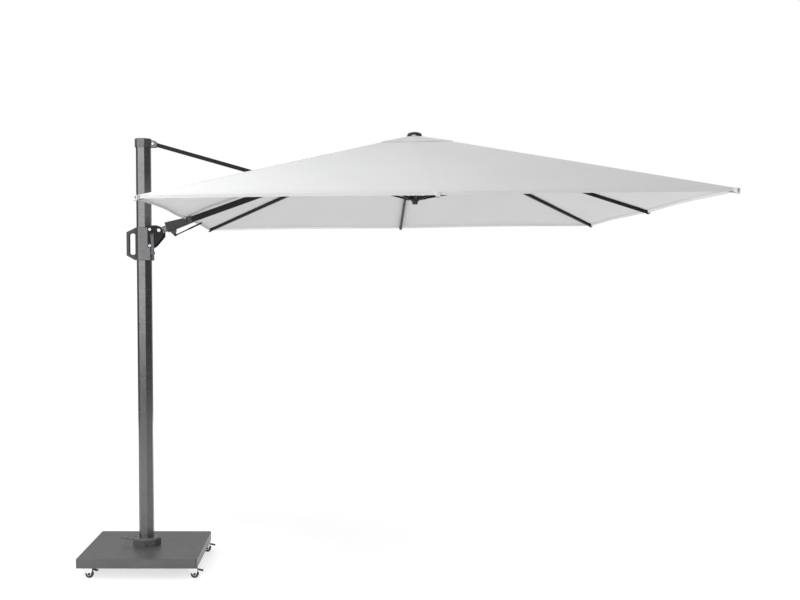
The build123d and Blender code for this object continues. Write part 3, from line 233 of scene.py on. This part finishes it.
def bare_metal(name, colour, roughness, stretch):
    """Plated or brushed metal with fine streaks."""
    material, tree, surface = nodes_of(name)
    streak = noise(tree, 260.0, 6.0, stretch)
    tree.links.new(colour_between(tree, ranged(tree, noise(tree, 30.0), 0, 1), [c * 0.88 for c in colour],
                                  colour), surface.inputs["Base Color"])
    tree.links.new(ranged(tree, streak, roughness * 0.7, roughness * 1.4), surface.inputs["Roughness"])
    tree.links.new(bump(tree, streak, 0.12, 0.00003), surface.inputs["Normal"])
    surface.inputs["Metallic"].default_value = 1.0
    return material


def moulded(name, colour, roughness, grain=2200.0, depth=0.0001):
    """Moulded plastic with a spark-eroded grain."""
    material, tree, surface = nodes_of(name)
    cells = tree.nodes.new("ShaderNodeTexVoronoi")
    cells.inputs["Scale"].default_value = grain
    place = tree.nodes.new("ShaderNodeTexCoord")
    tree.links.new(place.outputs["Object"], cells.inputs["Vector"])
    tree.links.new(colour_between(tree, ranged(tree, noise(tree, 25.0), 0, 1), [c * 0.85 for c in colour],
                                  [min(1, c * 1.12) for c in colour]), surface.inputs["Base Color"])
    tree.links.new(ranged(tree, noise(tree, 90.0), roughness * 0.85, roughness * 1.1),
                   surface.inputs["Roughness"])
    tree.links.new(bump(tree, cells.outputs["Distance"], 0.3, depth), surface.inputs["Normal"])
    surface.inputs["Specular IOR Level"].default_value = 0.4
    return material


def concrete(name):
    """The weight inside the base."""
    material, tree, surface = nodes_of(name)
    speckle = noise(tree, 180.0, 8.0)
    tree.links.new(colour_between(tree, ranged(tree, speckle, 0, 1), (0.26, 0.25, 0.235),
                                  (0.46, 0.45, 0.43)), surface.inputs["Base Color"])
    tree.links.new(bump(tree, speckle, 0.6, 0.0008), surface.inputs["Normal"])
    surface.inputs["Roughness"].default_value = 0.93
    return material


def rubber(name):
    """Dark rubber with a little dust on it."""
    material, tree, surface = nodes_of(name)
    dust = ranged(tree, noise(tree, 60.0), 0, 1)
    tree.links.new(colour_between(tree, dust, (0.018, 0.018, 0.019), (0.04, 0.04, 0.041)),
                   surface.inputs["Base Color"])
    tree.links.new(ranged(tree, noise(tree, 120.0), 0.62, 0.82), surface.inputs["Roughness"])
    tree.links.new(bump(tree, noise(tree, 900.0), 0.4, 0.0001), surface.inputs["Normal"])
    return material


def treaded(name):
    """Dark plastic with raised tread bars across it."""
    material, tree, surface = nodes_of(name)
    place = tree.nodes.new("ShaderNodeTexCoord")
    wave = tree.nodes.new("ShaderNodeTexWave")
    wave.inputs["Scale"].default_value = 75.0
    wave.inputs["Distortion"].default_value = 0.0
    tree.links.new(place.outputs["Object"], wave.inputs["Vector"])
    tree.links.new(colour_between(tree, noise(tree, 50.0), (0.03, 0.03, 0.032), (0.055, 0.055, 0.057)),
                   surface.inputs["Base Color"])
    tree.links.new(bump(tree, wave.outputs["Fac"], 0.5, 0.0005), surface.inputs["Normal"])
    surface.inputs["Roughness"].default_value = 0.6
    return material


CLOTH_COLOUR = (0.575, 0.577, 0.58)
WEAVE_PITCH = 0.0011
STITCH_HALF = 0.0009
STITCH_PITCH = 0.004
STITCH_SHARE = 0.68
HEM_STITCHES = (0.003, 0.004)
SEAM_STITCH = 0.0025


def weave_bump(tree, uv):
    """The cloth's own flat coordinates in metres, split, and the height of a plain weave's threads."""
    split = tree.nodes.new("ShaderNodeSeparateXYZ")
    tree.links.new(uv, split.inputs["Vector"])
    threads = []
    for axis in ("X", "Y"):
        turns = math_node(tree, "MULTIPLY", split.outputs[axis], 2 * math.pi / WEAVE_PITCH)
        threads.append(math_node(tree, "SINE", turns, 0))
    woven = math_node(tree, "MULTIPLY", threads[0], threads[1])
    return split, math_node(tree, "ADD", math_node(tree, "MULTIPLY", woven, 0.5), 0.5)


def stitches(tree, across, along, lines):
    """1 on the threads of stitched lines at those places across, and 0 off them."""
    total = None
    for line in lines:
        off = math_node(tree, "ABSOLUTE", math_node(tree, "SUBTRACT", across, line), 0)
        near = math_node(tree, "LESS_THAN", off, STITCH_HALF)
        total = near if total is None else math_node(tree, "MAXIMUM", total, near)
    dash = math_node(tree, "LESS_THAN", math_node(tree, "MODULO", along, STITCH_PITCH),
                     STITCH_PITCH * STITCH_SHARE)
    return math_node(tree, "MULTIPLY", total, dash)


def cloth(name, colour=CLOTH_COLOUR, rim=HALF_SIDE):
    """Tightly woven canopy cloth, with stitched hems and seams, from x out to the rim and y off the rib."""
    material, tree, surface = nodes_of(name)
    uv = tree.nodes.new("ShaderNodeUVMap")
    uv.uv_map = "flat"
    split, woven = weave_bump(tree, uv.outputs["UV"])
    out, off = split.outputs["X"], split.outputs["Y"]
    hem_lines = (rim - HEM + HEM_STITCHES[0], rim - HEM_STITCHES[1])
    sewn = math_node(tree, "MAXIMUM", stitches(tree, out, off, hem_lines),
                     stitches(tree, off, out, (SEAM_HALF - SEAM_STITCH,)))
    shade = colour_between(tree, ranged(tree, noise(tree, 2.2, 3.0), 0, 1), [c * 0.975 for c in colour],
                           [c * 1.012 for c in colour])
    threads = tree.nodes.new("ShaderNodeMix")
    threads.data_type = "RGBA"
    threads.inputs["B"].default_value = (*[c * 0.72 for c in colour], 1)
    tree.links.new(math_node(tree, "MULTIPLY", sewn, 0.35), threads.inputs["Factor"])
    tree.links.new(shade, threads.inputs["A"])
    tree.links.new(threads.outputs["Result"], surface.inputs["Base Color"])
    soft = bump(tree, noise(tree, 5.0, 3.0), 0.12, 0.006)
    fine = bump(tree, woven, 0.25, 0.00025, soft)
    tree.links.new(bump(tree, sewn, 0.5, 0.0006, fine), surface.inputs["Normal"])
    surface.inputs["Roughness"].default_value = 0.88
    surface.inputs["Specular IOR Level"].default_value = 0.25
    surface.inputs["Sheen Weight"].default_value = 0.15
    surface.inputs["Sheen Roughness"].default_value = 0.5
    return material


def make_materials():
    """Every material, by its slot's name in the record or by the piece that it is for."""
    return {
        "base_paint": coated_metal("base_paint", (0.071, 0.072, 0.074), 0.36, 900.0, 0.0001),
        "steel": coated_metal("tray_steel", (0.05, 0.05, 0.054), 0.5),
        "concrete": concrete("concrete"),
        "socket_paint": coated_metal("socket_paint", (0.1, 0.101, 0.104), 0.28, metallic=0.25),
        "bright_steel": bare_metal("bright_steel", (0.5, 0.5, 0.5), 0.3, (1, 1, 6)),
        "nylon": moulded("nylon", (0.72, 0.72, 0.69), 0.45, 900.0, 0.00005),
        "mast_paint": coated_metal("mast_paint", (0.117, 0.118, 0.12), 0.22, 400.0, 0.000002, metallic=0.85,
                                   specular=0.4),
        "casing_paint": coated_metal("casing_paint", (0.1, 0.101, 0.104), 0.3, 900.0, 0.00001, metallic=0.7),
        "frame_paint": coated_metal("frame_paint", (0.006, 0.006, 0.007), 0.42, 1500.0, 0.00004,
                                    specular=0.2),
        "moulding": moulded("moulding", (0.02, 0.02, 0.021), 0.3, 900.0, 0.00003),
        "grey_moulding": moulded("grey_moulding", (0.075, 0.077, 0.08), 0.45),
        "grey_metal": coated_metal("grey_metal", (0.17, 0.172, 0.176), 0.33, metallic=0.5),
        "chrome": bare_metal("chrome", (0.80, 0.80, 0.80), 0.13, (1, 1, 1)),
        "tyre": rubber("tyre"),
        "tread_plastic": treaded("tread_plastic"),
        "canopy_cloth": cloth("canopy_cloth"),
        "flap_cloth": cloth("flap_cloth", rim=FLAP_HALF),
        "webbing": cloth("webbing", (0.05, 0.051, 0.054), rim=1.0),
    }


CAST_CASINGS = ("mast_head", "carriage_shell")


def dress_cad(frame, materials):
    """Every CAD node gets the material of its slot in the record, and the cast casings a brighter paint."""
    slots = {p["node"]: p["material_slot"] for p in frame["record"]["subparts"]}
    for name, node in frame["nodes"].items():
        finish = "casing_paint" if name in CAST_CASINGS else slots[name]
        node.data.materials.clear()
        node.data.materials.append(materials[finish])


SHARP = math.radians(32)
RIB_EDGE = 0.0016
STRETCHER_EDGE = 0.001
EDGE_WIDTHS = {"mast_tube": 0.0016, "mast_head": 0.0014, "carriage_shell": 0.0016, "foot_socket": 0.0012,
               "boom_bracket": 0.0008, "strut": 0.0014, "foot_pedal": 0.001, "canopy_hub": 0.0008,
               "runner": 0.0006, "lock_lever": 0.0009}


def round_off(piece, width, sharp):
    """Edges that are sharper than that angle get a narrow round."""
    bevel = piece.modifiers.new("edge_round", "BEVEL")
    bevel.width = width
    bevel.segments = 2
    bevel.limit_method = "ANGLE"
    bevel.angle_limit = sharp
    return bevel


def round_edges(frame):
    """Hard CAD edges get a small round, so that light catches on them."""
    widths = dict(EDGE_WIDTHS)
    for place in RIBS:
        widths[f"rib_{place}"] = RIB_EDGE
        widths[f"stretcher_{place}"] = STRETCHER_EDGE
    for name, width in widths.items():
        round_off(frame["nodes"][name], width, SHARP).harden_normals = True


# ---- cloth

CREASE = math.radians(40)


def link(name, mesh):
    piece = bpy.data.objects.new(name, mesh)
    bpy.context.scene.collection.objects.link(piece)
    return piece


def solid_sheet(name, top, bottom, quads, flat, material):
    """A closed thin sheet: its top, its underside and a wall round every open edge."""
    count = len(top)
    directed = {(q[k], q[(k + 1) % len(q)]) for q in quads for k in range(len(q))}
    walls = [(b, a, a + count, b + count) for a, b in sorted(directed) if (b, a) not in directed]
    under = [tuple(i + count for i in reversed(q)) for q in quads]
    mesh = bpy.data.meshes.new(name)
    mesh.from_pydata([*top, *bottom], [], [*quads, *under, *walls])
    layer = mesh.uv_layers.new(name="flat")
    places = [*flat, *flat]
    for loop in mesh.loops:
        layer.data[loop.index].uv = places[loop.vertex_index]
    for polygon in mesh.polygons:
        polygon.use_smooth = True
    mesh.set_sharp_from_angle(angle=CREASE)
    mesh.materials.append(material)
    return link(name, mesh)


def ring_quads(first, rings, around, flipped=False):
    """Quads between rings of points, each ring closed on itself."""
    quads = []
    for row in range(first, first + (rings - 1) * around, around):
        for k in range(around):
            a, b = row + k, row + (k + 1) % around
            quads.append((a, a + around, b + around, b) if flipped else (a, b, b + around, a + around))
    return quads


def smooth(t):
    """An even rise from 0 to 1 while t does, level at both ends."""
    t = max(0.0, min(1.0, t))
    return t * t * (3 - 2 * t)


def main_surface(r, q):
    """How far the cloth hangs below its plane, and how far its edge pulls in.

    q is 0 on the line of a middle rib, which the cloth just touches, and 1 on a corner rib.
    """
    off_ribs = math.sin(math.pi * q) ** 2
    between = (1 - SAG_BY_MIDDLE_RIB) * off_ribs + SAG_BY_MIDDLE_RIB * (1 - smooth(q))
    out = (r - VENT_HALF) / (HALF_SIDE - VENT_HALF)
    sag_at = min(1.0, SAG_SPAN[0] + SAG_SPAN[1] * out)
    sag = PANEL_SAG * between * math.sin(math.pi * sag_at) ** SAG_ROUNDNESS
    pull = RIM_SCALLOP * off_ribs * smooth((out - SCALLOP_RAMP[0]) / SCALLOP_RAMP[1])
    return sag, pull


def flap_surface(r, q):
    """The same for the vent flap."""
    between = math.sin(math.pi * q) ** 2
    out = max(0.0, (r - CAP_HALF) / (FLAP_HALF - CAP_HALF))
    return FLAP_SAG * between * math.sin(math.pi * out), FLAP_SCALLOP * between * smooth(out)


def ring_offsets(r, reach, columns, corner, slit):
    """Places round the square from the rib's line, with a step where the seam's band ends."""
    seam = min(SEAM_HALF * (math.sqrt(2) if corner else 1), 0.2 * reach * r)
    places = [0.0, seam - min(STEP, 0.3 * seam), seam]
    end = reach * r
    last = end - SLIT_HALF if slit else end
    places += [seam + (last - seam) * k / columns for k in range(1, columns + 1)]
    if slit:
        places += [end - SLIT_HALF * k / 2 for k in (1, 0)]
    return places


def spot(rib_azimuth, side, r, e):
    """u and v of a point r out on the square's rings, e round the ring from the rib."""
    if rib_azimuth % 90:
        turn = math.radians(rib_azimuth - 45)
        x, y = (r, r - e) if side < 0 else (r - e, r)
    else:
        turn = math.radians(rib_azimuth)
        x, y = r, side * e
    c, s = math.cos(turn), math.sin(turn)
    return x * c - y * s, x * s + y * c


# one layer of the canopy: its rings, its columns to a side of a rib, the height and half side of its
# rim, its surface, how far its rim turns down, and whether it has the slit and the ribs' pockets
Layer = namedtuple("Layer", "radii columns rim half surface valance is_main")


def has_slit(layer, reach):
    """The slit is on the boom's line, which only the longer sides reach."""
    return layer.is_main and reach > HALFWAY


def cloth_half(layer, azimuth, side, reach):
    """One side of a rib's cloth as rows of (top, underside, flat place), the last turned down at the rim."""
    fall = (APEX - layer.rim) / layer.half
    corner = azimuth % 90 != 0
    slit = has_slit(layer, reach)
    columns = layer.columns * 2 if reach > HALFWAY else layer.columns
    rows = []
    for r, turned in [*((r, 0.0) for r in layer.radii), (layer.half, layer.valance)]:
        row = []
        offsets = ring_offsets(r, reach, columns, corner, slit)
        for index, e in enumerate(offsets):
            q = 1 - e / r if corner else e / r
            sag, pull = layer.surface(r, q)
            u, v = spot(azimuth, side, r, e)
            outward = Vector((u, v)) / r
            u, v = u - outward.x * pull, v - outward.y * pull
            w = APEX - fall * (r - pull) - sag - turned
            rise = SEAM_RISE if corner and index < 2 else 0.0
            if r > layer.half - HEM or (slit and near_slit(r, abs(v))):
                rise = max(rise, HEM_RISE)
            point = canopy_point(u, v, w)
            if slit:
                point += strap_shift(r, v)
            if layer.is_main and r == layer.half and index < 2:
                point += (U * outward.x + V * outward.y).normalized() * POCKET_REACH
                if turned:
                    point -= W * (POCKET_DEPTH - VALANCE)
            tuck = (U * outward.x + V * outward.y) * (HEM_TUCK if r == layer.half else 0.0)
            above = point if turned else point + W * rise
            below = point - tuck if turned else point - W * (CLOTH + rise) - tuck
            row.append((above, below, (r + turned, e)))
        rows.append(row)
    return rows


def near_slit(r, v):
    """True on the slit's binding."""
    return SLIT[0] - SLIT_BORDER < r < SLIT[1] + SLIT_BORDER and v < SLIT_HALF + SLIT_BORDER


def strap_shift(r, v):
    """How the strap draws the cloth in and down, near where it holds the rim to the boom."""
    close = math.exp(-(v / STRAP_REACH[0]) ** 2) * smooth(1 - (HALF_SIDE - r) / STRAP_REACH[1])
    return U * (STRAP_PULL * close) - W * (STRAP_DIP * close)


def in_slit(radii, i, count, j):
    """True for a cell that the strut passes through."""
    return SLIT[0] - 1e-6 <= radii[i] < SLIT[1] - 1e-6 and j >= count - 3


def rib_cloth(name, layer, azimuth, reaches, material):
    """The cloth over one rib: both sides of it, sewn along the rib's own line."""
    top, bottom, flat, quads = [], [], [], []
    seam_line = {}
    for side, reach in zip((-1, 1), reaches):
        ids = []
        for i, row in enumerate(cloth_half(layer, azimuth, side, reach)):
            line = []
            for j, (above, below, place) in enumerate(row):
                if j == 0 and i in seam_line:
                    line.append(seam_line[i])
                    continue
                if j == 0:
                    seam_line[i] = len(top)
                line.append(len(top))
                top.append(above)
                bottom.append(below)
                flat.append(place)
            ids.append(line)
        for i in range(len(ids) - 1):
            for j in range(len(ids[i]) - 1):
                if has_slit(layer, reach) and in_slit(layer.radii, i, len(ids[i]), j):
                    continue
                quad = (ids[i][j], ids[i + 1][j], ids[i + 1][j + 1], ids[i][j + 1])
                quads.append(quad if side > 0 else tuple(reversed(quad)))
    return solid_sheet(name, top, bottom, quads, flat, material)


def spaced(start, end, count):
    """Even steps from start, without the end."""
    return [start + (end - start) * k / count for k in range(count)]


def hem_radii(half):
    """The last rings: over the step at the hem's inner edge, along the hem and at the rim."""
    hem_line = half - HEM
    return [hem_line - STEP, hem_line + HEM_EDGE, hem_line + HEM / 2, half]


def canopy_radii():
    """Rings out from the vent, closer together at the slit and at the hem."""
    return [*spaced(VENT_HALF, SLIT[0] - SLIT_BORDER, 18), *spaced(SLIT[0] - SLIT_BORDER, SLIT[0], 2),
            *spaced(SLIT[0], SLIT[1], 5), *spaced(SLIT[1], SLIT[1] + SLIT_BORDER, 2),
            *spaced(SLIT[1] + SLIT_BORDER, HALF_SIDE - HEM - STEP, 16), *hem_radii(HALF_SIDE)]


def flap_radii():
    return [*spaced(CAP_HALF, FLAP_HALF - HEM - STEP, 6), *hem_radii(FLAP_HALF)]


def make_canopy(materials):
    """The main cloth and the flap, each cut into sectors that ride on their own ribs."""
    main = Layer(canopy_radii(), 9, RIM, HALF_SIDE, main_surface, VALANCE, True)
    vent = Layer(flap_radii(), 5, FLAP_RIM, FLAP_HALF, flap_surface, FLAP_VALANCE, False)
    first = None
    for place, (azimuth, *reaches) in RIBS.items():
        body = f"rib_{place}"
        panel = rib_cloth(f"canopy_cloth_{place}", main, azimuth, reaches, materials["canopy_cloth"])
        flap = rib_cloth(f"flap_cloth_{place}", vent, azimuth, reaches, materials["flap_cloth"])
        folded = FOLDED_LEFT if place.endswith("left") else FOLDED_CANOPY
        for piece, keep in ((panel, folded), (flap, FOLDED_FLAP)):
            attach(piece, body)
            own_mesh(piece)
        first = first or (panel, flap)
    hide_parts("canopy")
    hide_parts("vent_flap")


CAP_RINGS = (CAP_HOLE, 0.025, 0.045, CAP_HALF)


def make_cap(materials):
    """The cloth's middle, sewn under the finial, which stays up when the ribs fold."""
    top, bottom, flat = [], [], []
    per_side = 10
    fall = (APEX - FLAP_RIM) / FLAP_HALF
    for r in CAP_RINGS:
        for k in range(4 * per_side):
            quarter, step = divmod(k, per_side)
            turn = math.radians(90 * quarter)
            x, y = r, r * (2 * step / per_side - 1)
            u, v = x * math.cos(turn) - y * math.sin(turn), x * math.sin(turn) + y * math.cos(turn)
            point = canopy_point(u, v, APEX - fall * r)
            top.append(point + W * SEAM_RISE)
            bottom.append(point - W * CLOTH)
            flat.append((u, v))
    quads = ring_quads(0, len(CAP_RINGS), 4 * per_side, flipped=True)
    cap = solid_sheet("canopy_cap", top, bottom, quads, flat, materials["flap_cloth"])
    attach(cap, "boom")


# ---- finial

FINIAL_HALF = 0.051
FINIAL_CROWN = 0.5245
FINIAL_FOOT = 0.4945
FINIAL_WALL = 0.003
FINIAL_TIP = 0.0008
FINIAL_EDGE = 0.0008
FINIAL_SHARP = math.radians(50)
FINIAL_ROUNDNESS = (0.85, 0.75)
# each side's opening: where it ends and how soft its edge is, between a side's middle (0) and a foot (1),
# and the share of the dome's height that it takes off
OPENING_END = 0.62
OPENING_EDGE = 0.34
OPENING_SHARE = 0.42


def make_finial(materials):
    """A domed cap on four feet, with an arched opening on each side of the square."""
    around, rings = 96, 14
    vertices, faces = [], []
    for k in range(around):
        azimuth = 2 * math.pi * k / around
        to_side = abs((math.degrees(azimuth) + 45) % 90 - 45) / 45
        end = 1 - OPENING_SHARE * smooth((OPENING_END - to_side) / OPENING_EDGE)
        for i in range(rings + 1):
            t = end * i / rings
            radius = FINIAL_HALF * math.sin(t * math.pi / 2) ** FINIAL_ROUNDNESS[0]
            rise = math.cos(t * math.pi / 2) ** FINIAL_ROUNDNESS[1]
            height = FINIAL_FOOT + (FINIAL_CROWN - FINIAL_FOOT) * rise
            radial = U * math.cos(azimuth) + V * math.sin(azimuth)
            vertices.append(CANOPY_CENTRE + radial * max(radius, FINIAL_TIP) + W * height)
    for k in range(around):
        after = (k + 1) % around
        for i in range(rings):
            a, b = k * (rings + 1) + i, after * (rings + 1) + i
            faces.append((a, a + 1, b + 1, b))
    faces.append(tuple(k * (rings + 1) for k in reversed(range(around))))
    mesh = bpy.data.meshes.new("finial_dome")
    mesh.from_pydata(vertices, [], faces)
    for polygon in mesh.polygons:
        polygon.use_smooth = True
    mesh.materials.append(materials["moulding"])
    dome = link("finial_dome", mesh)
    wall = dome.modifiers.new("wall", "SOLIDIFY")
    wall.thickness = FINIAL_WALL
    wall.offset = -1
    round_off(dome, FINIAL_EDGE, FINIAL_SHARP)
    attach(dome, "boom")
    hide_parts("finial")


# ---- dark caps over the ends of the casters' axles

AXLE_CAP_RADIUS = 0.0085
AXLE_CAP_FACE = 0.0146
AXLE_CAP_DEPTH = 0.0028
# shares of the radius and of the depth
AXLE_CAP_PROFILE = ((1.0, 0.0), (1.0, 0.45), (0.9, 0.8), (0.6, 1.0))


def make_axle_caps(materials):
    """Each caster's pair of domed caps stands on the fork's two outer faces, over the axle's heads."""
    around = 40
    for place in ("near_left", "near_right", "far_left", "far_right"):
        low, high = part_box(f"caster_wheel_{place}")
        centre = (low + high) / 2
        vertices, faces = [], []
        for side in (-1, 1):
            first = len(vertices)
            for share, out in AXLE_CAP_PROFILE:
                for k in range(around):
                    turn = -side * 2 * math.pi * k / around
                    vertices.append(centre + Vector((AXLE_CAP_RADIUS * share * math.cos(turn),
                                                     side * (AXLE_CAP_FACE + AXLE_CAP_DEPTH * out),
                                                     AXLE_CAP_RADIUS * share * math.sin(turn))))
            last = len(vertices) - around
            faces += ring_quads(first, len(AXLE_CAP_PROFILE), around)
            faces.append(tuple(range(last, last + around)))
            faces.append(tuple(reversed(range(first, first + around))))
        mesh = bpy.data.meshes.new(f"axle_cap_{place}")
        mesh.from_pydata(vertices, [], faces)
        mesh.materials.append(materials["moulding"])
        cap = link(f"axle_cap_{place}", mesh)
        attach(cap, f"caster_swivel_{place}")


# ---- the strap that holds the cloth's edge to the boom

STRAP_AT = 0.2035
STRAP_WIDTH = 0.022
STRAP_THICKNESS = 0.0016
STRAP_HALVES = (0.0168, 0.0205)
STRAP_CORNER_POWER = 0.35
STRAP_LIFT = 0.0035
STRAP_LIFT_RAMP = (0.4, 0.6)
STRAP_FLAT_STEP = 0.0035


def make_edge_strap(materials):
    """A webbing loop round the boom, closed against the hem above it."""
    half_width, half_depth = STRAP_HALVES
    outline = []
    for k in range(40):
        angle = 2 * math.pi * k / 40
        c, s = math.cos(angle), math.sin(angle)
        x = math.copysign(abs(c) ** STRAP_CORNER_POWER, c) * half_width
        y = math.copysign(abs(s) ** STRAP_CORNER_POWER, s) * half_depth
        lifted = smooth((y - half_depth * STRAP_LIFT_RAMP[0]) / (half_depth * STRAP_LIFT_RAMP[1]))
        outline.append((x, y + STRAP_LIFT * lifted))
    middle = BOOM_PIVOT + BOOM_ALONG * STRAP_AT
    top, bottom, flat = [], [], []
    steps = 4
    for i in range(steps + 1):
        along = STRAP_WIDTH * (i / steps - 0.5)
        for k, (x, y) in enumerate(outline):
            inner = middle + BOOM_ALONG * along + V * x + BOOM_UP * y
            away = (V * x + BOOM_UP * y).normalized()
            top.append(inner + away * STRAP_THICKNESS)
            bottom.append(inner)
            flat.append((along, STRAP_FLAT_STEP * k))
    quads = ring_quads(0, steps + 1, len(outline))
    strap = solid_sheet("edge_strap", top, bottom, quads, flat, materials["webbing"])
    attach(strap, "boom")


# ---- light, floor and backdrop

KEY_LIGHT = {"at": (-2.3, -2.6, 4.2), "towards": (0.6, -0.4, 2.2), "size": (1.6, 1.6), "energy": 225}
FRONT_LIGHT = {"at": (-2.4, -8.2, 3.1), "towards": (0.2, 0, 1.6), "size": (3.4, 4.6), "energy": 150}
OVERHEAD = 0.75
BEFORE_AND_BEHIND = 0.28
ALL_ROUND = 0.06

FLOOR_AT = 1.0
FLOOR_RADIUS = 7.5
FLOOR_SIDES = 96
# the floor glows more with distance, so that it meets the white backdrop without a line
GLOW_DISTANCES = (1.4, 6.0)
GLOW_STRENGTHS = (0.19, 0.68)


def area_light(name, at, towards, size, energy):
    data = bpy.data.lights.new(name, "AREA")
    data.shape = "RECTANGLE"
    data.size, data.size_y = size
    data.energy = energy
    light = bpy.data.objects.new(name, data)
    bpy.context.scene.collection.objects.link(light)
    light.location = at
    light.visible_camera = False
    light.rotation_mode = "QUATERNION"
    light.rotation_quaternion = (Vector(towards) - Vector(at)).to_track_quat("-Z", "Y")
    return light


def make_world():
    """A white studio: bright overhead, before and behind, and darker to the sides, so faces part in tone.

    The camera sees it plain white.
    """
    world = bpy.data.worlds.new("studio")
    world.use_nodes = True
    tree = world.node_tree
    place = tree.nodes.new("ShaderNodeTexCoord")
    split = tree.nodes.new("ShaderNodeSeparateXYZ")
    tree.links.new(place.outputs["Generated"], split.inputs["Vector"])
    overhead = math_node(tree, "MULTIPLY", math_node(tree, "MAXIMUM", split.outputs["Z"], 0), OVERHEAD)
    depth = math_node(tree, "MULTIPLY", split.outputs["Y"], split.outputs["Y"])
    ends = math_node(tree, "MULTIPLY", depth, BEFORE_AND_BEHIND)
    total = math_node(tree, "ADD", math_node(tree, "ADD", overhead, ends), ALL_ROUND)
    background = tree.nodes["Background"]
    tree.links.new(total, background.inputs["Strength"])
    seen = tree.nodes.new("ShaderNodeBackground")
    rays = tree.nodes.new("ShaderNodeLightPath")
    mix = tree.nodes.new("ShaderNodeMixShader")
    for node in (background, seen):
        node.inputs["Color"].default_value = (1, 1, 1, 1)
    tree.links.new(rays.outputs["Is Camera Ray"], mix.inputs["Fac"])
    tree.links.new(background.outputs["Background"], mix.inputs[1])
    tree.links.new(seen.outputs["Background"], mix.inputs[2])
    tree.links.new(mix.outputs["Shader"], tree.nodes["World Output"].inputs["Surface"])
    bpy.context.scene.world = world


def make_light():
    """The key light throws no shadow and shows in no reflection."""
    make_world()
    bpy.context.scene.view_settings.view_transform = "Standard"
    key = area_light("key", **KEY_LIGHT)
    key.data.use_shadow = False
    key.visible_glossy = False
    area_light("front", **FRONT_LIGHT)


def make_floor():
    """A pale round floor."""
    material, tree, surface = nodes_of("floor")
    tree.links.new(colour_between(tree, noise(tree, 0.6, 2.0), (0.83, 0.83, 0.83), (0.85, 0.85, 0.85)),
                   surface.inputs["Base Color"])
    surface.inputs["Roughness"].default_value = 0.85
    surface.inputs["Specular IOR Level"].default_value = 0.1
    surface.inputs["Emission Color"].default_value = (1, 1, 1, 1)
    place = tree.nodes.new("ShaderNodeTexCoord")
    away = tree.nodes.new("ShaderNodeVectorMath")
    away.operation = "LENGTH"
    tree.links.new(place.outputs["Object"], away.inputs[0])
    glow = tree.nodes.new("ShaderNodeMapRange")
    spans = (*GLOW_DISTANCES, *GLOW_STRENGTHS)
    for socket, value in zip(("From Min", "From Max", "To Min", "To Max"), spans):
        glow.inputs[socket].default_value = value
    tree.links.new(away.outputs["Value"], glow.inputs["Value"])
    tree.links.new(glow.outputs["Result"], surface.inputs["Emission Strength"])
    mesh = bpy.data.meshes.new("floor")
    turns = [2 * math.pi * k / FLOOR_SIDES for k in range(FLOOR_SIDES)]
    mesh.from_pydata([(FLOOR_AT + FLOOR_RADIUS * math.cos(turn), FLOOR_RADIUS * math.sin(turn), 0)
                      for turn in turns], [], [tuple(range(FLOOR_SIDES))])
    mesh.materials.append(material)
    link("floor", mesh)


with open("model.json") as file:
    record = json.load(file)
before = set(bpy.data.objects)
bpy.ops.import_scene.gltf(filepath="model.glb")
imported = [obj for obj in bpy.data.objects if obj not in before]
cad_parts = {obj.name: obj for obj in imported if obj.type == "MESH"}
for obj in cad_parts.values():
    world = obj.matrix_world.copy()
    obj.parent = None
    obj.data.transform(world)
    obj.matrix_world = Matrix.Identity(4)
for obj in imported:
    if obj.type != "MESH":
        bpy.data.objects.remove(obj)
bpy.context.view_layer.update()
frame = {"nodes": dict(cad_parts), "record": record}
make_camera()
looks = make_materials()
dress_cad(frame, looks)
round_edges(frame)
make_canopy(looks)
make_cap(looks)
make_finial(looks)
make_edge_strap(looks)
make_axle_caps(looks)
make_light()
make_floor()
